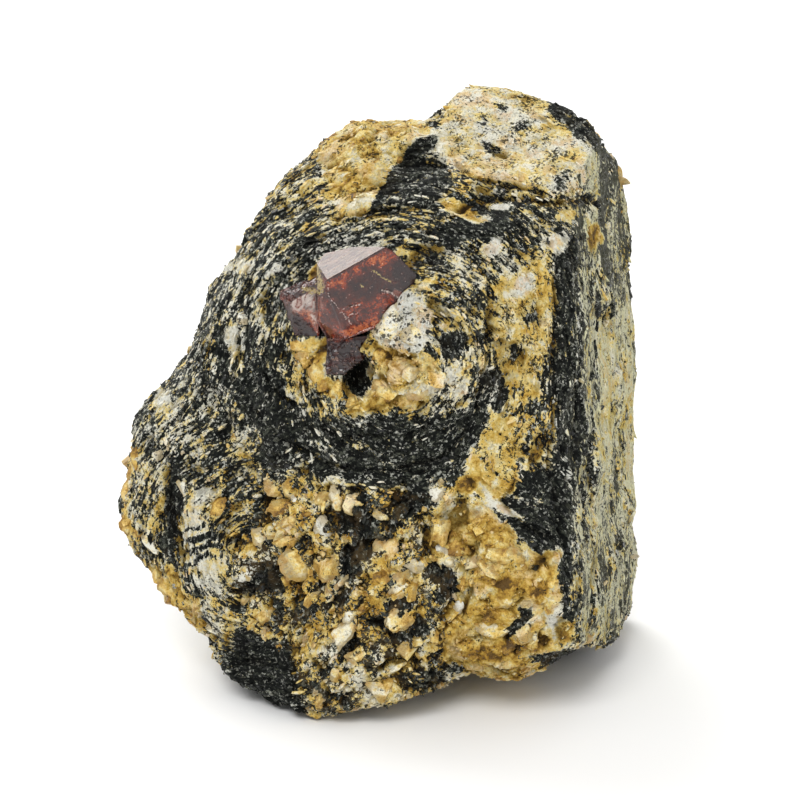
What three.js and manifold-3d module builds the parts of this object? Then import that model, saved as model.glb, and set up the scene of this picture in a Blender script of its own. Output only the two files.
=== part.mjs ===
// Zircon on matrix: a fist-sized block of banded gneiss with one zircon crystal set in its front.
// Millimetres, +Z up. The origin is on the table, under the middle of the block.
//
// The block is shaped in a face frame of its own: "across" runs to the right, "up" runs up the
// leaning front and "out" stands square off the front. Its centre is inside the block. Every point
// and direction below is [across, up, out].
//
// The block is one body that is seen whole from its centre, so a radius in each direction describes
// it: the nearest of its outline and its broken planes, then lumps, grooves and chips on top.

import * as THREE from "three";
import { ConvexGeometry } from "three/addons/geometries/ConvexGeometry.js";
import { ImprovedNoise } from "three/addons/math/ImprovedNoise.js";
import { mergeVertices } from "three/addons/utils/BufferGeometryUtils.js";
import Module from "manifold-3d";

const LEAN = THREE.MathUtils.degToRad(20); // the front leans back from upright
const CENTRE_HEIGHT = 27; // of the face frame's centre above the table
const SKIN_DETAIL = 17; // subdivisions of the sphere that becomes the block's skin
const FRONT_BIAS = 0.2; // how far the skin's corners crowd towards the front, where the relief is finest
const EDGE_BLEND = 0.45; // rounding where two broken planes meet
const UNDERSIDE_DROP = 0.45; // how far the rough underside would reach below the table
const POCKET_GAP = 0.34; // clearance round the crystal in its pocket
const TABLE_SIZE = 200; // side of the block that is cut away below the table
const CURVE_STEPS = 720; // points read off the smooth outline
const MERGE_DISTANCE = 1e-4; // corners closer than this are one corner
const GRAZING = 1e-3; // a direction this close to square with a plane never meets it

// The block's outline, seen square to its front: [across, up], going round from the right.
const OUTLINE = [
  [26, 0], [26.6, 5.3], [26.3, 8.7], [25.6, 12], [25.6, 17], [24.8, 21.2], [23.2, 25.2], [20.8, 28],
  [17.4, 30.4], [13.8, 31.3], [10.8, 31.4], [8.6, 32], [6.4, 30.7], [4, 28.9], [0, 28.3], [-3, 28.8],
  [-5.2, 27.6], [-8.2, 25.6], [-10.8, 23.7], [-12, 20.9], [-15, 16.7], [-17.3, 12.5], [-18.7, 8.8],
  [-20.6, 4.6], [-23.2, 2.4], [-26.1, -1.2], [-27.2, -5.6], [-27.6, -9.5], [-27.5, -12.5],
  [-26.1, -15.7], [-23.4, -19], [-20.1, -21.8], [-18.1, -24], [-17.2, -27.6], [-14.7, -29.6],
  [-12.7, -30.5], [-9.3, -31.5], [-3, -31], [3.6, -30], [5.6, -27.8], [7.8, -26.9],
  [12.3, -27.9], [15, -26.7], [18.6, -25.8], [22.4, -25.3], [25, -22.3], [26.4, -17.2], [25.9, -13],
  [26.1, -8], [26.4, -4],
];

// The broken planes that bound the block: the way each one faces, and its distance from the centre.
const PLANES = [
  { name: "roof slope", facing: [0, 0.732, 0.682], distance: 24.4 },
  { name: "left roof slope", facing: [-0.35, 0.65, 0.67], distance: 22.4 },
  { name: "crystal's seat", facing: [0, 0.05, 1], distance: 17.9 },
  { name: "crystal's cheek", facing: [-0.45, 0.3, 0.84], distance: 20 },
  { name: "left flank", facing: [-0.75, 0.3, 0.59], distance: 20.8 },
  { name: "lower front", facing: [0, -0.3, 0.954], distance: 19 },
  { name: "lower left front", facing: [-0.5, -0.2, 0.84], distance: 18.1 },
  { name: "left end", facing: [-0.9, -0.1, 0.42], distance: 26 },
  { name: "toe bevel", facing: [-0.45, -0.75, 0.48], distance: 32 },
  { name: "right corner", facing: [0.7, 0, 0.714], distance: 22.3 },
  { name: "right face", facing: [0.958, 0, 0.287], distance: 21.9 },
  { name: "back", facing: [0.12, 0.16, -0.98], distance: 17.3 },
  { name: "right back", facing: [0.72, 0.1, -0.69], distance: 28 },
  { name: "left back", facing: [-0.6, 0.2, -0.77], distance: 21 },
  { name: "back roof", facing: [0.1, 0.74, -0.66], distance: 25.5 },
  { name: "lower left back", facing: [-0.55, -0.5, -0.67], distance: 26.5 },
];

// Swellings (positive rise) and hollows (negative) with a soft edge.
const LUMPS = [
  { name: "augen knob", at: [4.8, 7, 18], size: [5, 7.2, 7], rise: 4 },
  { name: "white feldspar", at: [1.2, 7.4, 19], size: [2.8, 3.4, 4], rise: 0.7 },
  { name: "yellow feldspar", at: [1.4, 2.4, 18.5], size: [3.4, 2.6, 4], rise: 1.4 },
  { name: "knob's foot hollow", at: [1, -5.4, 17], size: [11, 3.4, 8], rise: -2.2 },
  { name: "hollow right of the knob", at: [12.6, 5, 15], size: [3, 9, 6], rise: -2 },
  { name: "crystal's left hollow", at: [-9, 6, 16], size: [3.6, 4, 6], rise: -0.9 },
  { name: "top crag", at: [10.5, 31, 4], size: [5, 4, 6], rise: 1.5 },
  { name: "dark wedge", at: [4.5, 23, 9], size: [3, 4.5, 6], rise: -0.9 },
  { name: "fold nose", at: [-18.6, -9, 6], size: [2.4, 4.5, 5], rise: 1.6 },
  { name: "lower fold nose", at: [-18, -17, 6], size: [2.6, 3.6, 5], rise: 1.8 },
  { name: "ochre grains by the vug", at: [-7.4, 3.6, 17], size: [1.7, 2, 3], rise: 0.9 },
  { name: "ochre grains under the vug", at: [-4.6, 0.6, 17.4], size: [2.4, 1.2, 3], rise: 0.8 },
  { name: "crust bulge", at: [12.5, -18, 14], size: [5, 6.5, 6], rise: 1.4 },
  { name: "quartz brow", at: [-9, -13, 13], size: [5, 3.4, 6], rise: 1.6 },
  { name: "grain heap", at: [1, -21, 12], size: [4.5, 4.5, 6], rise: 1.5 },
  { name: "toe", at: [-6, -28, 9], size: [6, 4, 5], rise: 1.2 },
  { name: "black toe hollow", at: [-13, -25.5, 8], size: [2.2, 4.5, 5], rise: -1.4 },
  { name: "arch under the crust", at: [15, -27, 6], size: [4, 2.5, 10], rise: -0.6 },
  { name: "back shoulder", at: [10, 12, -18], size: [9, 8, 8], rise: 1.6 },
  { name: "back scoop", at: [-6, -4, -18], size: [8, 9, 8], rise: -1.8 },
];

// Grooves (negative rise) and ridges (positive) along a straight run.
const RUNS = [
  { name: "ledge under the roof", from: [5, 18.6, 15], to: [20.5, 19.6, 9], width: 1.3, rise: -1.2 },
  { name: "roof edge above the ledge", from: [6, 21.6, 12], to: [20, 22, 8], width: 1.6, rise: 0.7 },
  { name: "seam between the slopes", from: [3.6, 28, 5], to: [-2, 19, 14], width: 1.2, rise: -0.8 },
  { name: "rim left of the crystal", from: [-13, 13, 14], to: [-12, -1, 14], width: 1.5, rise: 0.9 },
  { name: "groove left of the rim", from: [-15.6, 6, 12], to: [-14.4, -4, 13], width: 1.3, rise: -1 },
  { name: "groove by the fold", from: [-21.6, -3, 3], to: [-22.2, -17, 2], width: 1.5, rise: -1.5 },
  { name: "crease beside the crust", from: [6.4, -11, 16], to: [5.6, -28, 10], width: 1.5, rise: -1.4 },
  { name: "crease in the left flank", from: [-15, -2, 12], to: [-19, -12, 8], width: 1.5, rise: -0.6 },
  { name: "corner rib", from: [18.4, 15, 13], to: [18, -20, 12.5], width: 1.8, rise: 0.7 },
  { name: "layer step, back", from: [-14, 14, -14], to: [16, 4, -18], width: 1.7, rise: -1.2 },
  { name: "lower layer step, back", from: [-16, -8, -16], to: [14, -14, -18], width: 1.7, rise: -1 },
];

// Rough relief over the whole skin: wavelength and height of each layer of noise.
const ROUGHNESS = [
  { wavelength: 9, height: 0.55 },
  { wavelength: 4.3, height: 0.42 },
];

// Worn layers that wrap round the knob, swaying a little as they go.
const LAYER_SPACING = 3.1;
const LAYER_HEIGHT = 0.12;
const LAYER_CENTRE = [1, 2]; // [across, up]
const SWAY_WAVELENGTH = 7;
const SWAY_TURN = 3; // radians of phase

// Flat chips knocked off the skin, spread evenly over all directions.
const CHIP_COUNT = 90;
const CHIP_DEPTH = 0.55; // how deep a chip bites at its middle
const CHIP_REACH = 0.94; // cosine of the angle that a chip reaches from its middle

// The crystal's faces, each set by three of its corners: top, front and left.
const EDGE_LEFT = [-5.94, 11.49, 20.5]; // ends of the sharp edge between the top and front faces
const EDGE_RIGHT = [-0.4, 14.62, 20];
const FRONT_FOOT = [-4.27, 5.82, 18.5];
const TOP_FACE = faceThrough(EDGE_LEFT, EDGE_RIGHT, [-6.99, 13.09, 17.7]);
const FRONT_FACE = faceThrough(EDGE_LEFT, EDGE_RIGHT, FRONT_FOOT);
const CHIP_TOP = onFace(FRONT_FACE, -6.08, 10.28); // ends of the chipped edge beside the left face
const CHIP_FOOT = onFace(FRONT_FACE, -3.9, 7.29);
const LEFT_FACE = faceThrough(CHIP_TOP, CHIP_FOOT, [-7.03, 7.58, 17.6]);

// Convex pieces that have grown together as the one crystal.
const CRYSTAL_PIECES = [
  {
    name: "whole end",
    corners: [
      EDGE_LEFT, EDGE_RIGHT, FRONT_FOOT, CHIP_TOP, CHIP_FOOT,
      onFace(TOP_FACE, -6.99, 13.09), onFace(TOP_FACE, -6.22, 14.13), onFace(TOP_FACE, -3.54, 14.69),
      onFace(FRONT_FACE, 0.41, 14.17), onFace(FRONT_FACE, 2.61, 11.97),
      onFace(FRONT_FACE, 1.7, 9.6), onFace(FRONT_FACE, -0.8, 7.1),
      onFace(LEFT_FACE, -6.91, 9.93), onFace(LEFT_FACE, -7.03, 7.58),
      onFace(LEFT_FACE, -5.95, 5.76), onFace(LEFT_FACE, -4.66, 5.66),
      [-5.8, 12.6, 12], [0.6, 13, 12], [1, 9, 12], [-3.4, 6.4, 12], [-6.4, 8, 12],
    ],
  },
  {
    name: "broken end",
    corners: [
      [-10.6, 9.9, 15], [-10.5, 10.7, 14.6], [-7.1, 11.95, 16.3], [-6.9, 11.25, 18.3],
      [-9.4, 10.2, 16.6], [-9.5, 8.9, 16.3], [-7, 8.5, 17.6], [-6.8, 6.1, 16.8],
      [-9.1, 6.2, 15.6], [-8.4, 9.4, 11.5], [-6.6, 8, 11.5],
    ],
  },
  {
    name: "stub below the crystal",
    corners: [
      [-6.1, 5.9, 17.2], [-4.3, 5.9, 17.6], [-1.9, 6.2, 17], [-1.8, 4.6, 16.4],
      [-3.6, 4.2, 17.2], [-4.4, 2.4, 17], [-6.1, 2.4, 17.2], [-5.6, 3.6, 12], [-2.6, 5, 12],
    ],
  },
];

// The vug under the crystal, an egg-shaped hollow.
const VUG = { at: [-3, 2.3, 17.4], size: [1.7, 2.3, 3.6], segments: [12, 8] };

const noise = new ImprovedNoise();
const across = vector([1, 0, 0]);
const up = vector([0, Math.sin(LEAN), Math.cos(LEAN)]);
const out = vector([0, -Math.cos(LEAN), Math.sin(LEAN)]);
const faceToPart = new THREE.Matrix4().makeBasis(across, up, out).setPosition(0, 0, CENTRE_HEIGHT);

function vector(point) {
  return new THREE.Vector3(...point);
}

// The plane through three corners.
function faceThrough(a, b, c) {
  return new THREE.Plane().setFromCoplanarPoints(vector(a), vector(b), vector(c));
}

// The corner of a face at one place across (x) and up (y).
function onFace(face, x, y) {
  return [x, y, -(face.normal.x * x + face.normal.y * y + face.constant) / face.normal.z];
}

// The outline's radius as a function of angle, from a smooth closed curve through its points.
function outlineReach() {
  const corners = OUTLINE.map(([x, y]) => vector([x, y, 0]));
  const points = new THREE.CatmullRomCurve3(corners, true, "centripetal")
    .getPoints(CURVE_STEPS)
    .map((p) => ({ angle: Math.atan2(p.y, p.x), reach: Math.hypot(p.x, p.y) }))
    .sort((a, b) => a.angle - b.angle);
  return (angle) => {
    const next = points.findIndex((p) => p.angle >= angle);
    const after = points[next < 0 ? 0 : next];
    const before = points.at(next - 1);
    const gap = THREE.MathUtils.euclideanModulo(after.angle - before.angle, 2 * Math.PI);
    const along = THREE.MathUtils.euclideanModulo(angle - before.angle, 2 * Math.PI);
    return THREE.MathUtils.lerp(before.reach, after.reach, gap > 0 ? along / gap : 0);
  };
}

// The least of several lengths, eased where two of them are close.
function softMin(lengths, blend) {
  const least = Math.min(...lengths);
  const sum = lengths.reduce((total, length) => total + Math.exp((least - length) / blend), 0);
  return least - blend * Math.log(sum);
}

// Directions spread evenly over a sphere by the golden angle.
function evenDirections(count) {
  const turn = Math.PI * (3 - Math.sqrt(5));
  return Array.from({ length: count }, (_, i) => {
    const height = 1 - (2 * i + 1) / count;
    const ring = Math.sqrt(1 - height * height);
    return vector([ring * Math.cos(i * turn), height, ring * Math.sin(i * turn)]);
  });
}

const underside = {
  facing: [0, -Math.cos(LEAN), -Math.sin(LEAN)],
  distance: CENTRE_HEIGHT + UNDERSIDE_DROP,
};
const planes = [...PLANES, underside].map(({ facing, distance }) => ({
  normal: vector(facing).normalize(),
  distance,
}));
const reachAt = outlineReach();

// Distance from the centre to the smooth block in one direction.
function blockRadius(direction) {
  const inPlane = Math.hypot(direction.x, direction.y);
  const lengths = planes
    .filter(({ normal }) => normal.dot(direction) > GRAZING)
    .map(({ normal, distance }) => distance / normal.dot(direction));
  if (inPlane > GRAZING) lengths.push(reachAt(Math.atan2(direction.y, direction.x)) / inPlane);
  return softMin(lengths, EDGE_BLEND);
}

const chips = evenDirections(CHIP_COUNT).map((normal) => ({
  normal,
  distance: blockRadius(normal) - CHIP_DEPTH,
}));

function lumpRise(point) {
  return LUMPS.reduce((sum, { at, size, rise }) => {
    const offset = point.clone().sub(vector(at)).divide(vector(size));
    return sum + rise * Math.exp(-offset.lengthSq());
  }, 0);
}

function runRise(point) {
  return RUNS.reduce((sum, { from, to, width, rise }) => {
    const line = new THREE.Line3(vector(from), vector(to));
    const nearest = line.closestPointToPoint(point, true, new THREE.Vector3());
    return sum + rise * Math.exp(-nearest.distanceToSquared(point) / (width * width * 2));
  }, 0);
}

function noiseAt(point, wavelength) {
  return noise.noise(point.x / wavelength, point.y / wavelength, point.z / wavelength);
}

function roughRise(point) {
  const rough = ROUGHNESS.reduce((sum, layer) => sum + layer.height * noiseAt(point, layer.wavelength), 0);
  const ring = Math.hypot(point.x - LAYER_CENTRE[0], point.y - LAYER_CENTRE[1]);
  const phase = (2 * Math.PI * ring) / LAYER_SPACING + SWAY_TURN * noiseAt(point, SWAY_WAVELENGTH);
  return rough + LAYER_HEIGHT * Math.sin(phase);
}

// Distance from the centre to the finished skin in one direction.
function skinRadius(direction) {
  const base = blockRadius(direction);
  const point = direction.clone().multiplyScalar(base);
  const raised = base + lumpRise(point) + runRise(point);
  const chipped = chips
    .filter(({ normal }) => normal.dot(direction) > CHIP_REACH)
    .map(({ normal, distance }) => distance / normal.dot(direction));
  return Math.max(Math.min(raised, ...chipped), raised - 2 * CHIP_DEPTH) + roughRise(point);
}

const wasm = await Module();
wasm.setup();

// A copy of some geometry with only positions, whose shared corners are merged.
function joined(geometry) {
  return mergeVertices(geometry.clone().deleteAttribute("normal").deleteAttribute("uv"), MERGE_DISTANCE);
}

function solidOf(geometry) {
  const { attributes, index } = joined(geometry);
  const mesh = new wasm.Mesh({
    numProp: 3,
    vertProperties: attributes.position.array,
    triVerts: new Uint32Array(index.array),
  });
  return new wasm.Manifold(mesh);
}

function geometryOf(solid) {
  const mesh = solid.getMesh();
  return new THREE.BufferGeometry()
    .setAttribute("position", new THREE.BufferAttribute(mesh.vertProperties, 3))
    .setIndex(new THREE.BufferAttribute(mesh.triVerts, 1));
}

// The hull of some corners, each grown into a small ball where the hull needs a margin.
function hull(corners, margin) {
  const ball = margin > 0 ? cornersOf(new THREE.IcosahedronGeometry(margin, 0)) : [new THREE.Vector3()];
  const points = corners.flatMap((corner) => ball.map((step) => vector(corner).add(step)));
  return solidOf(new ConvexGeometry(points).applyMatrix4(faceToPart));
}

function cornersOf(geometry) {
  const { position } = joined(geometry).attributes;
  const corner = (_, i) => new THREE.Vector3().fromBufferAttribute(position, i);
  return Array.from({ length: position.count }, corner);
}

function crystal(margin) {
  return wasm.Manifold.union(CRYSTAL_PIECES.map(({ corners }) => hull(corners, margin)));
}

function vug() {
  const egg = new THREE.SphereGeometry(1, ...VUG.segments);
  return solidOf(egg.scale(...VUG.size).translate(...VUG.at).applyMatrix4(faceToPart));
}

function block() {
  const skin = joined(new THREE.IcosahedronGeometry(1, SKIN_DETAIL));
  const lookOut = vector([0, 0, FRONT_BIAS]);
  cornersOf(skin).forEach((corner, i) => {
    const direction = corner.add(lookOut).normalize();
    skin.attributes.position.setXYZ(i, ...direction.multiplyScalar(skinRadius(direction)));
  });
  const table = new THREE.BoxGeometry(TABLE_SIZE, TABLE_SIZE, TABLE_SIZE).translate(0, 0, -TABLE_SIZE / 2);
  return solidOf(skin.applyMatrix4(faceToPart)).subtract(solidOf(table));
}

const whole = block().subtract(vug()).subtract(crystal(POCKET_GAP));
const matrixSolid = whole.decompose().sort((a, b) => b.volume() - a.volume())[0];
const matrixMesh = new THREE.Mesh(
  geometryOf(matrixSolid),
  new THREE.MeshStandardMaterial({ color: 0x6f6a54, roughness: 0.85, metalness: 0 }),
);
matrixMesh.name = "matrix";

const zirconMesh = new THREE.Mesh(
  geometryOf(crystal(0)),
  new THREE.MeshStandardMaterial({ color: 0x6b2a1e, roughness: 0.2, metalness: 0 }),
);
zirconMesh.name = "zircon";

// Both pieces move together so that the middle of their footprint is at the origin.
const specimen = new THREE.Group();
specimen.add(matrixMesh, zirconMesh);
const box = new THREE.Box3().setFromObject(specimen);
const middle = box.getCenter(new THREE.Vector3());
specimen.position.set(-middle.x, -middle.y, 0);

const root = new THREE.Group();
root.add(specimen);

export default root;
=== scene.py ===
"""Zircon on matrix: the looks of a block of banded gneiss and the zircon crystal set in its front.

Lengths are in millimetres until they become mesh coordinates, which are in metres.
"""

import math

import bmesh
import bpy
import numpy as np
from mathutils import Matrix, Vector, noise
from mathutils.bvhtree import BVHTree


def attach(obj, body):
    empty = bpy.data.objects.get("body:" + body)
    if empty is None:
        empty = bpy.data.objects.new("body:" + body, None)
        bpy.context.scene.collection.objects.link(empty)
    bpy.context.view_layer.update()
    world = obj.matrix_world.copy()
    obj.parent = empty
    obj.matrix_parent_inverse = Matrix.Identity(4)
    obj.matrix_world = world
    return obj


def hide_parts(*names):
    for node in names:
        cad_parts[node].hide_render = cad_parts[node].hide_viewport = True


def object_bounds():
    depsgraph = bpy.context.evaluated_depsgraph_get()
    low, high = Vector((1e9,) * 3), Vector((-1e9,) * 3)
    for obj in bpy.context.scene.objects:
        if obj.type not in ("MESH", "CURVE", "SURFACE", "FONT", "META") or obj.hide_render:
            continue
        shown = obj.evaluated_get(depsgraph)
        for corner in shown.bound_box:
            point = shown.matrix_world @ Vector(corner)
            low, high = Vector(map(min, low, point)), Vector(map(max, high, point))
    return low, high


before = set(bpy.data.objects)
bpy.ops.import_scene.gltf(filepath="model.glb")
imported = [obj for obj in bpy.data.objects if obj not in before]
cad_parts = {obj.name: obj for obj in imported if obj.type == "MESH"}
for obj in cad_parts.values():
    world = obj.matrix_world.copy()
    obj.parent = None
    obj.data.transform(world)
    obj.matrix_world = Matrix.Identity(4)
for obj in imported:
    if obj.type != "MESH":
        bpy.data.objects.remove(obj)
cad_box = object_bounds()

MM = 0.001
SEED = 7

# The block's face frame, as in the CAD: across to the right, up the leaning front, out of the front.
LEAN = math.radians(20)
FACE_CENTRE = Vector((0.961, -0.174, 27))
ACROSS = Vector((1, 0, 0))
UP = Vector((0, math.sin(LEAN), math.cos(LEAN)))
OUT = Vector((0, -math.cos(LEAN), math.sin(LEAN)))
FACE_AXES = np.array((ACROSS, UP, OUT))

# The eye that looks square at the front.
EYE_DISTANCE = 450
EYE_AIM = (1, 0)  # the point of the face frame at the middle of the view, across and up
VIEW_WIDTH = 80  # width of the view at the block's centre
SENSOR = 36
CLIP_START = 0.01  # in metres

VOXEL = 0.2  # spacing of the rock's surface mesh before it is thinned
ROCK_TRIANGLES = 190_000
WEIGHT_PULL = 0.0002  # how much finer the front stays than the back
CREASE = math.radians(38)  # edges sharper than this stay crisp
SAME_CORNER = 1e-6  # corners of a CAD mesh closer than this, in metres, are one
NEAR = 1.0  # farther than this outside an outline or a crack, nothing is measured against it


def to_part(point):
    """A point of the face frame, in the part's frame, in millimetres."""
    across, up, out = point
    return FACE_CENTRE + ACROSS * across + UP * up + OUT * out


def to_face(places):
    """Rows of points in the part's frame, as rows of the face frame."""
    return (places - np.array(FACE_CENTRE)) @ FACE_AXES.T


def as_seen(face_places):
    """Where points of the face frame appear from the eye, on the plane through the block's centre."""
    nearness = EYE_DISTANCE / (EYE_DISTANCE - face_places[:, 2])
    aim = np.array(EYE_AIM)
    return aim + (face_places[:, :2] - aim) * nearness[:, None]


# ---------------------------------------------------------------- fields over the surface

def noise_at(places, wavelength, shift=0.0):
    """Smooth noise from -1 to 1 at each place."""
    moved = places / wavelength + shift
    return np.array([noise.noise(place) for place in moved.tolist()])


def smooth_step(low, high, values):
    """0 at low, 1 at high and a smooth step between them."""
    share = np.clip((values - low) / (high - low), 0, 1)
    return share * share * (3 - 2 * share)


def distance_to_line(places, start, end):
    """How far each place is from the nearest point between two ends."""
    start, run = np.array(start), np.array(end) - np.array(start)
    share = np.clip(((places - start) @ run) / (run @ run), 0, 1)
    return np.linalg.norm(places - start - share[:, None] * run, axis=1)


def close_to(points, corners):
    """Which points lie in the box round some corners, or near it."""
    return ((points > corners.min(axis=0) - NEAR) & (points < corners.max(axis=0) + NEAR)).all(axis=1)


def distance_inside(points, outline):
    """How far each point lies inside a closed outline, negative outside."""
    corners = np.array(outline, float)
    inside = np.full(len(points), -np.inf)
    near = close_to(points, corners)
    points = points[near]
    nearest = np.full(len(points), np.inf)
    crossings = np.zeros(len(points), int)
    for start, end in zip(corners, np.roll(corners, -1, axis=0)):
        run = end - start
        nearest = np.minimum(nearest, distance_to_line(points, start, end))
        spans = (start[1] > points[:, 1]) != (end[1] > points[:, 1])
        slope = run[0] / run[1] if run[1] else 0
        crossings += spans & (points[:, 0] < start[0] + (points[:, 1] - start[1]) * slope)
    inside[near] = np.where(crossings % 2 == 1, nearest, -nearest)
    return inside


# What the rock is made of, place by place. light: share of pale minerals. stain: iron stain on them.
# coarse: share of large grains. specks: black specks in the pale minerals. rough: how rough it broke.
# A zone has the ground's share of what it doesn't give. edge: width over which it fades into the next.
# Outlines are [across, up] as seen from the eye. A later zone lies over the ones before it.
GROUND = {"light": 0.46, "stain": 0.3, "coarse": 0.25, "specks": 0.3, "rough": 1.0}
ZONES = {
    "lower front grains": {
        "light": 0.5, "stain": 0.5, "coarse": 1.0, "specks": 0.2, "edge": 1.2,
        "outline": [
            (-12, -8), (-6, -9), (3, -9.5), (6, -14), (7, -22), (5, -29), (-8, -32), (-14, -25),
            (-16, -16)]},
    "pale foot": {
        "light": 0.68, "stain": 0.3, "coarse": 0.8, "specks": 0.1, "edge": 1.5,
        "outline": [
            (-9, -24), (-4, -25), (2, -23), (5, -26), (3, -29.5), (-4, -31), (-9, -31)]},
    "left flank": {
        "light": 0.38, "stain": 0.17, "coarse": 0.1, "edge": 1.5,
        "outline": [
            (-11, 17), (-13, 19), (-27, -2), (-27, -6), (-20, -8), (-14, -5), (-13, 6)]},
    "upper band": {
        "light": 0.36, "stain": 0.3, "coarse": 0.08, "edge": 1.0,
        "outline": [
            (-10, 20), (-5, 18), (0, 20), (3, 23), (7, 21), (20, 20), (20, 15), (16, 15.5), (11, 13.5),
            (4, 14.5), (0, 15.5), (-5, 16), (-9, 14)]},
    "grey round the crystal": {
        "light": 0.36, "stain": 0.08, "coarse": 0.05, "edge": 1.2,
        "outline": [
            (-15, 4), (-14.8, 10), (-13, 15.5), (-8, 16.2), (-2, 17.6), (2.5, 16.8), (1.5, 15),
            (-6, 13.4), (-8.5, 11.5), (-10.4, 10), (-10.5, 6.4), (-11, 3.6)]},
    "slate streak": {
        "light": 0.0, "stain": 0.0, "coarse": 0.0, "rough": 0.3, "edge": 0.8,
        "outline": [
            (4, 16.5), (8, 19.5), (12, 18.5), (11, 16.5), (6, 15.5)]},
    "knob's foot": {
        "light": 0.14, "stain": 0.1, "coarse": 0.05, "edge": 1.2,
        "outline": [
            (-14, 4), (-11.5, 5), (-10, 0), (-6, -1.5), (1, -2), (6, -1.5), (10, 0.5), (11, -1),
            (8.8, -4), (6.5, -7.5), (3, -9), (-1, -8), (-6, -8), (-10, -6), (-12.8, -4), (-15, -2),
            (-15.5, 1.5)]},
    "dark lower right": {
        "light": 0.04, "stain": 0.1, "coarse": 0.05, "edge": 0.8,
        "outline": [
            (9, -7.5), (13, -7), (17, -7), (17.5, -14), (15.5, -15), (13.5, -14.5), (11.5, -13),
            (9.5, -10)]},
    "corner band": {
        "light": 0.1, "stain": 0.02, "coarse": 0.0, "edge": 0.8,
        "outline": [
            (16.6, 16.5), (20, 15.5), (21, 10), (20.8, 0), (20, -7), (18.5, -14), (18.2, -22),
            (17.2, -20), (17, -14), (16.6, -7), (16.3, 0), (16.6, 7)]},
    "black toe": {
        "light": -0.02, "stain": 0.0, "coarse": 0.1, "edge": 1.0,
        "outline": [
            (-15, -23), (-10, -24), (-8.6, -33), (-13, -33), (-16, -30), (-17.5, -27.6)]},
    "dark wedge": {
        "light": 0.2, "stain": 0.1, "coarse": 0.1, "edge": 0.8,
        "outline": [
            (0.5, 20), (2, 23), (3.6, 26), (5.6, 26.5), (6.5, 22), (5, 19)]},
    "top patch": {
        "light": 1.05, "stain": 0.27, "coarse": 0.1, "specks": 0.9, "rough": 0.4, "edge": 0.7,
        "outline": [
            (4.6, 25), (5.7, 28.5), (7, 33), (11, 33), (15, 32), (17.2, 30.6), (15.7, 29), (15.3, 27.2),
            (17, 26.5), (19.5, 27.2), (21, 25), (21.6, 23.2), (21, 21.5), (19, 21), (17, 21.7),
            (13, 21.3), (10, 22.2), (7, 22.6), (5.5, 23)]},
    "ochre patch": {
        "light": 1.0, "stain": 0.44, "coarse": 0.3, "specks": 0.7, "edge": 0.8,
        "outline": [
            (-7.6, 25), (-4.8, 28), (-2.5, 30), (1, 30), (3.5, 29.5), (3.8, 26.5), (2, 24), (0.2, 21.5),
            (-1.8, 20), (-3.5, 18.8), (-5.5, 18.5), (-6.5, 20), (-5.5, 22.5), (-7, 23.5)]},
    "right strip": {
        "light": 0.76, "stain": 0.45, "coarse": 0.25, "specks": 0.8, "rough": 0.7, "edge": 0.8,
        "outline": [
            (10.2, 10), (11.5, 12.5), (15, 13.8), (16.6, 11), (16.2, 7), (15.5, 3), (15, 0), (12.5, 0),
            (11.5, 2), (10.5, 5.5)]},
    "tan wedge": {
        "light": 0.8, "stain": 0.5, "coarse": 0.1, "specks": 0.7, "rough": 0.5, "edge": 0.7,
        "outline": [
            (10, -0.8), (11.5, -2), (12.2, -5.5), (13, -8), (11, -10), (8.5, -10), (7.2, -7), (8, -4.5),
            (9.2, -3)]},
    "golden crust": {
        "light": 1.2, "stain": 0.48, "coarse": 0.6, "specks": 0.2, "rough": 0.9, "edge": 0.7,
        "outline": [
            (4, -12), (6.5, -9.5), (10, -10.5), (13, -14.5), (15.5, -15.5), (17.2, -15), (17.5, -20),
            (17.8, -23.5), (16.5, -26.5), (12.5, -30), (9, -30), (6.5, -26.5), (5, -24), (6, -21),
            (7, -18), (5, -16), (3.5, -14)]},
    "crust on the left end": {
        "light": 0.95, "stain": 0.6, "coarse": 0.5, "specks": 0.0, "edge": 0.6,
        "outline": [
            (-28.5, -4), (-25.8, -4), (-25.8, -8), (-26.2, -10), (-25.6, -14), (-29, -14), (-30, -8)]},
    "crust under the left end": {
        "light": 0.9, "stain": 0.6, "coarse": 0.5, "specks": 0.1, "edge": 0.6,
        "outline": [
            (-27, -16), (-22.5, -16.8), (-19, -20), (-18.5, -23), (-21, -24), (-25, -20)]},
    "fold nose": {
        "light": 0.8, "stain": 0.2, "coarse": 0.1, "edge": 0.5,
        "outline": [
            (-20.8, -10), (-18.5, -8), (-16.8, -10), (-17.5, -12), (-17, -15.5), (-16.8, -19),
            (-19.5, -19), (-21, -16)]},
    "white feldspar": {
        "light": 1.35, "stain": 0.0, "coarse": 0.1, "specks": 1.2, "rough": 0.4, "edge": 0.5,
        "outline": [
            (-0.2, 10), (1, 10.8), (2.8, 11), (3.8, 9.5), (4, 7), (3.5, 5), (1.5, 4.5), (-0.5, 4.8),
            (-1.4, 6.5), (-1.4, 8.2)]},
    "yellow feldspar": {
        "light": 1.3, "stain": 0.42, "coarse": 0.5, "specks": 0.0, "edge": 0.5,
        "outline": [
            (-1.4, 5.5), (1, 4.8), (3.5, 4.5), (5.2, 3.5), (5, 0.5), (3, -0.8), (0.5, -0.5),
            (-2.5, -1.4), (-4.2, -1.2), (-3.8, 0), (-2.2, 1.2), (-1.6, 3.5)]},
    "ochre grains by the vug": {
        "light": 0.95, "stain": 0.62, "coarse": 0.6, "specks": 0.0, "edge": 0.4,
        "outline": [
            (-9.8, 5.8), (-6.5, 6.2), (-6.2, 4.8), (-7, 3.2), (-6.5, 1.8), (-4.5, 1), (-4.3, -0.2),
            (-6, -0.2), (-7.2, 1.2), (-8.2, 2.8), (-9.4, 4.2)]},
}

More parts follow.
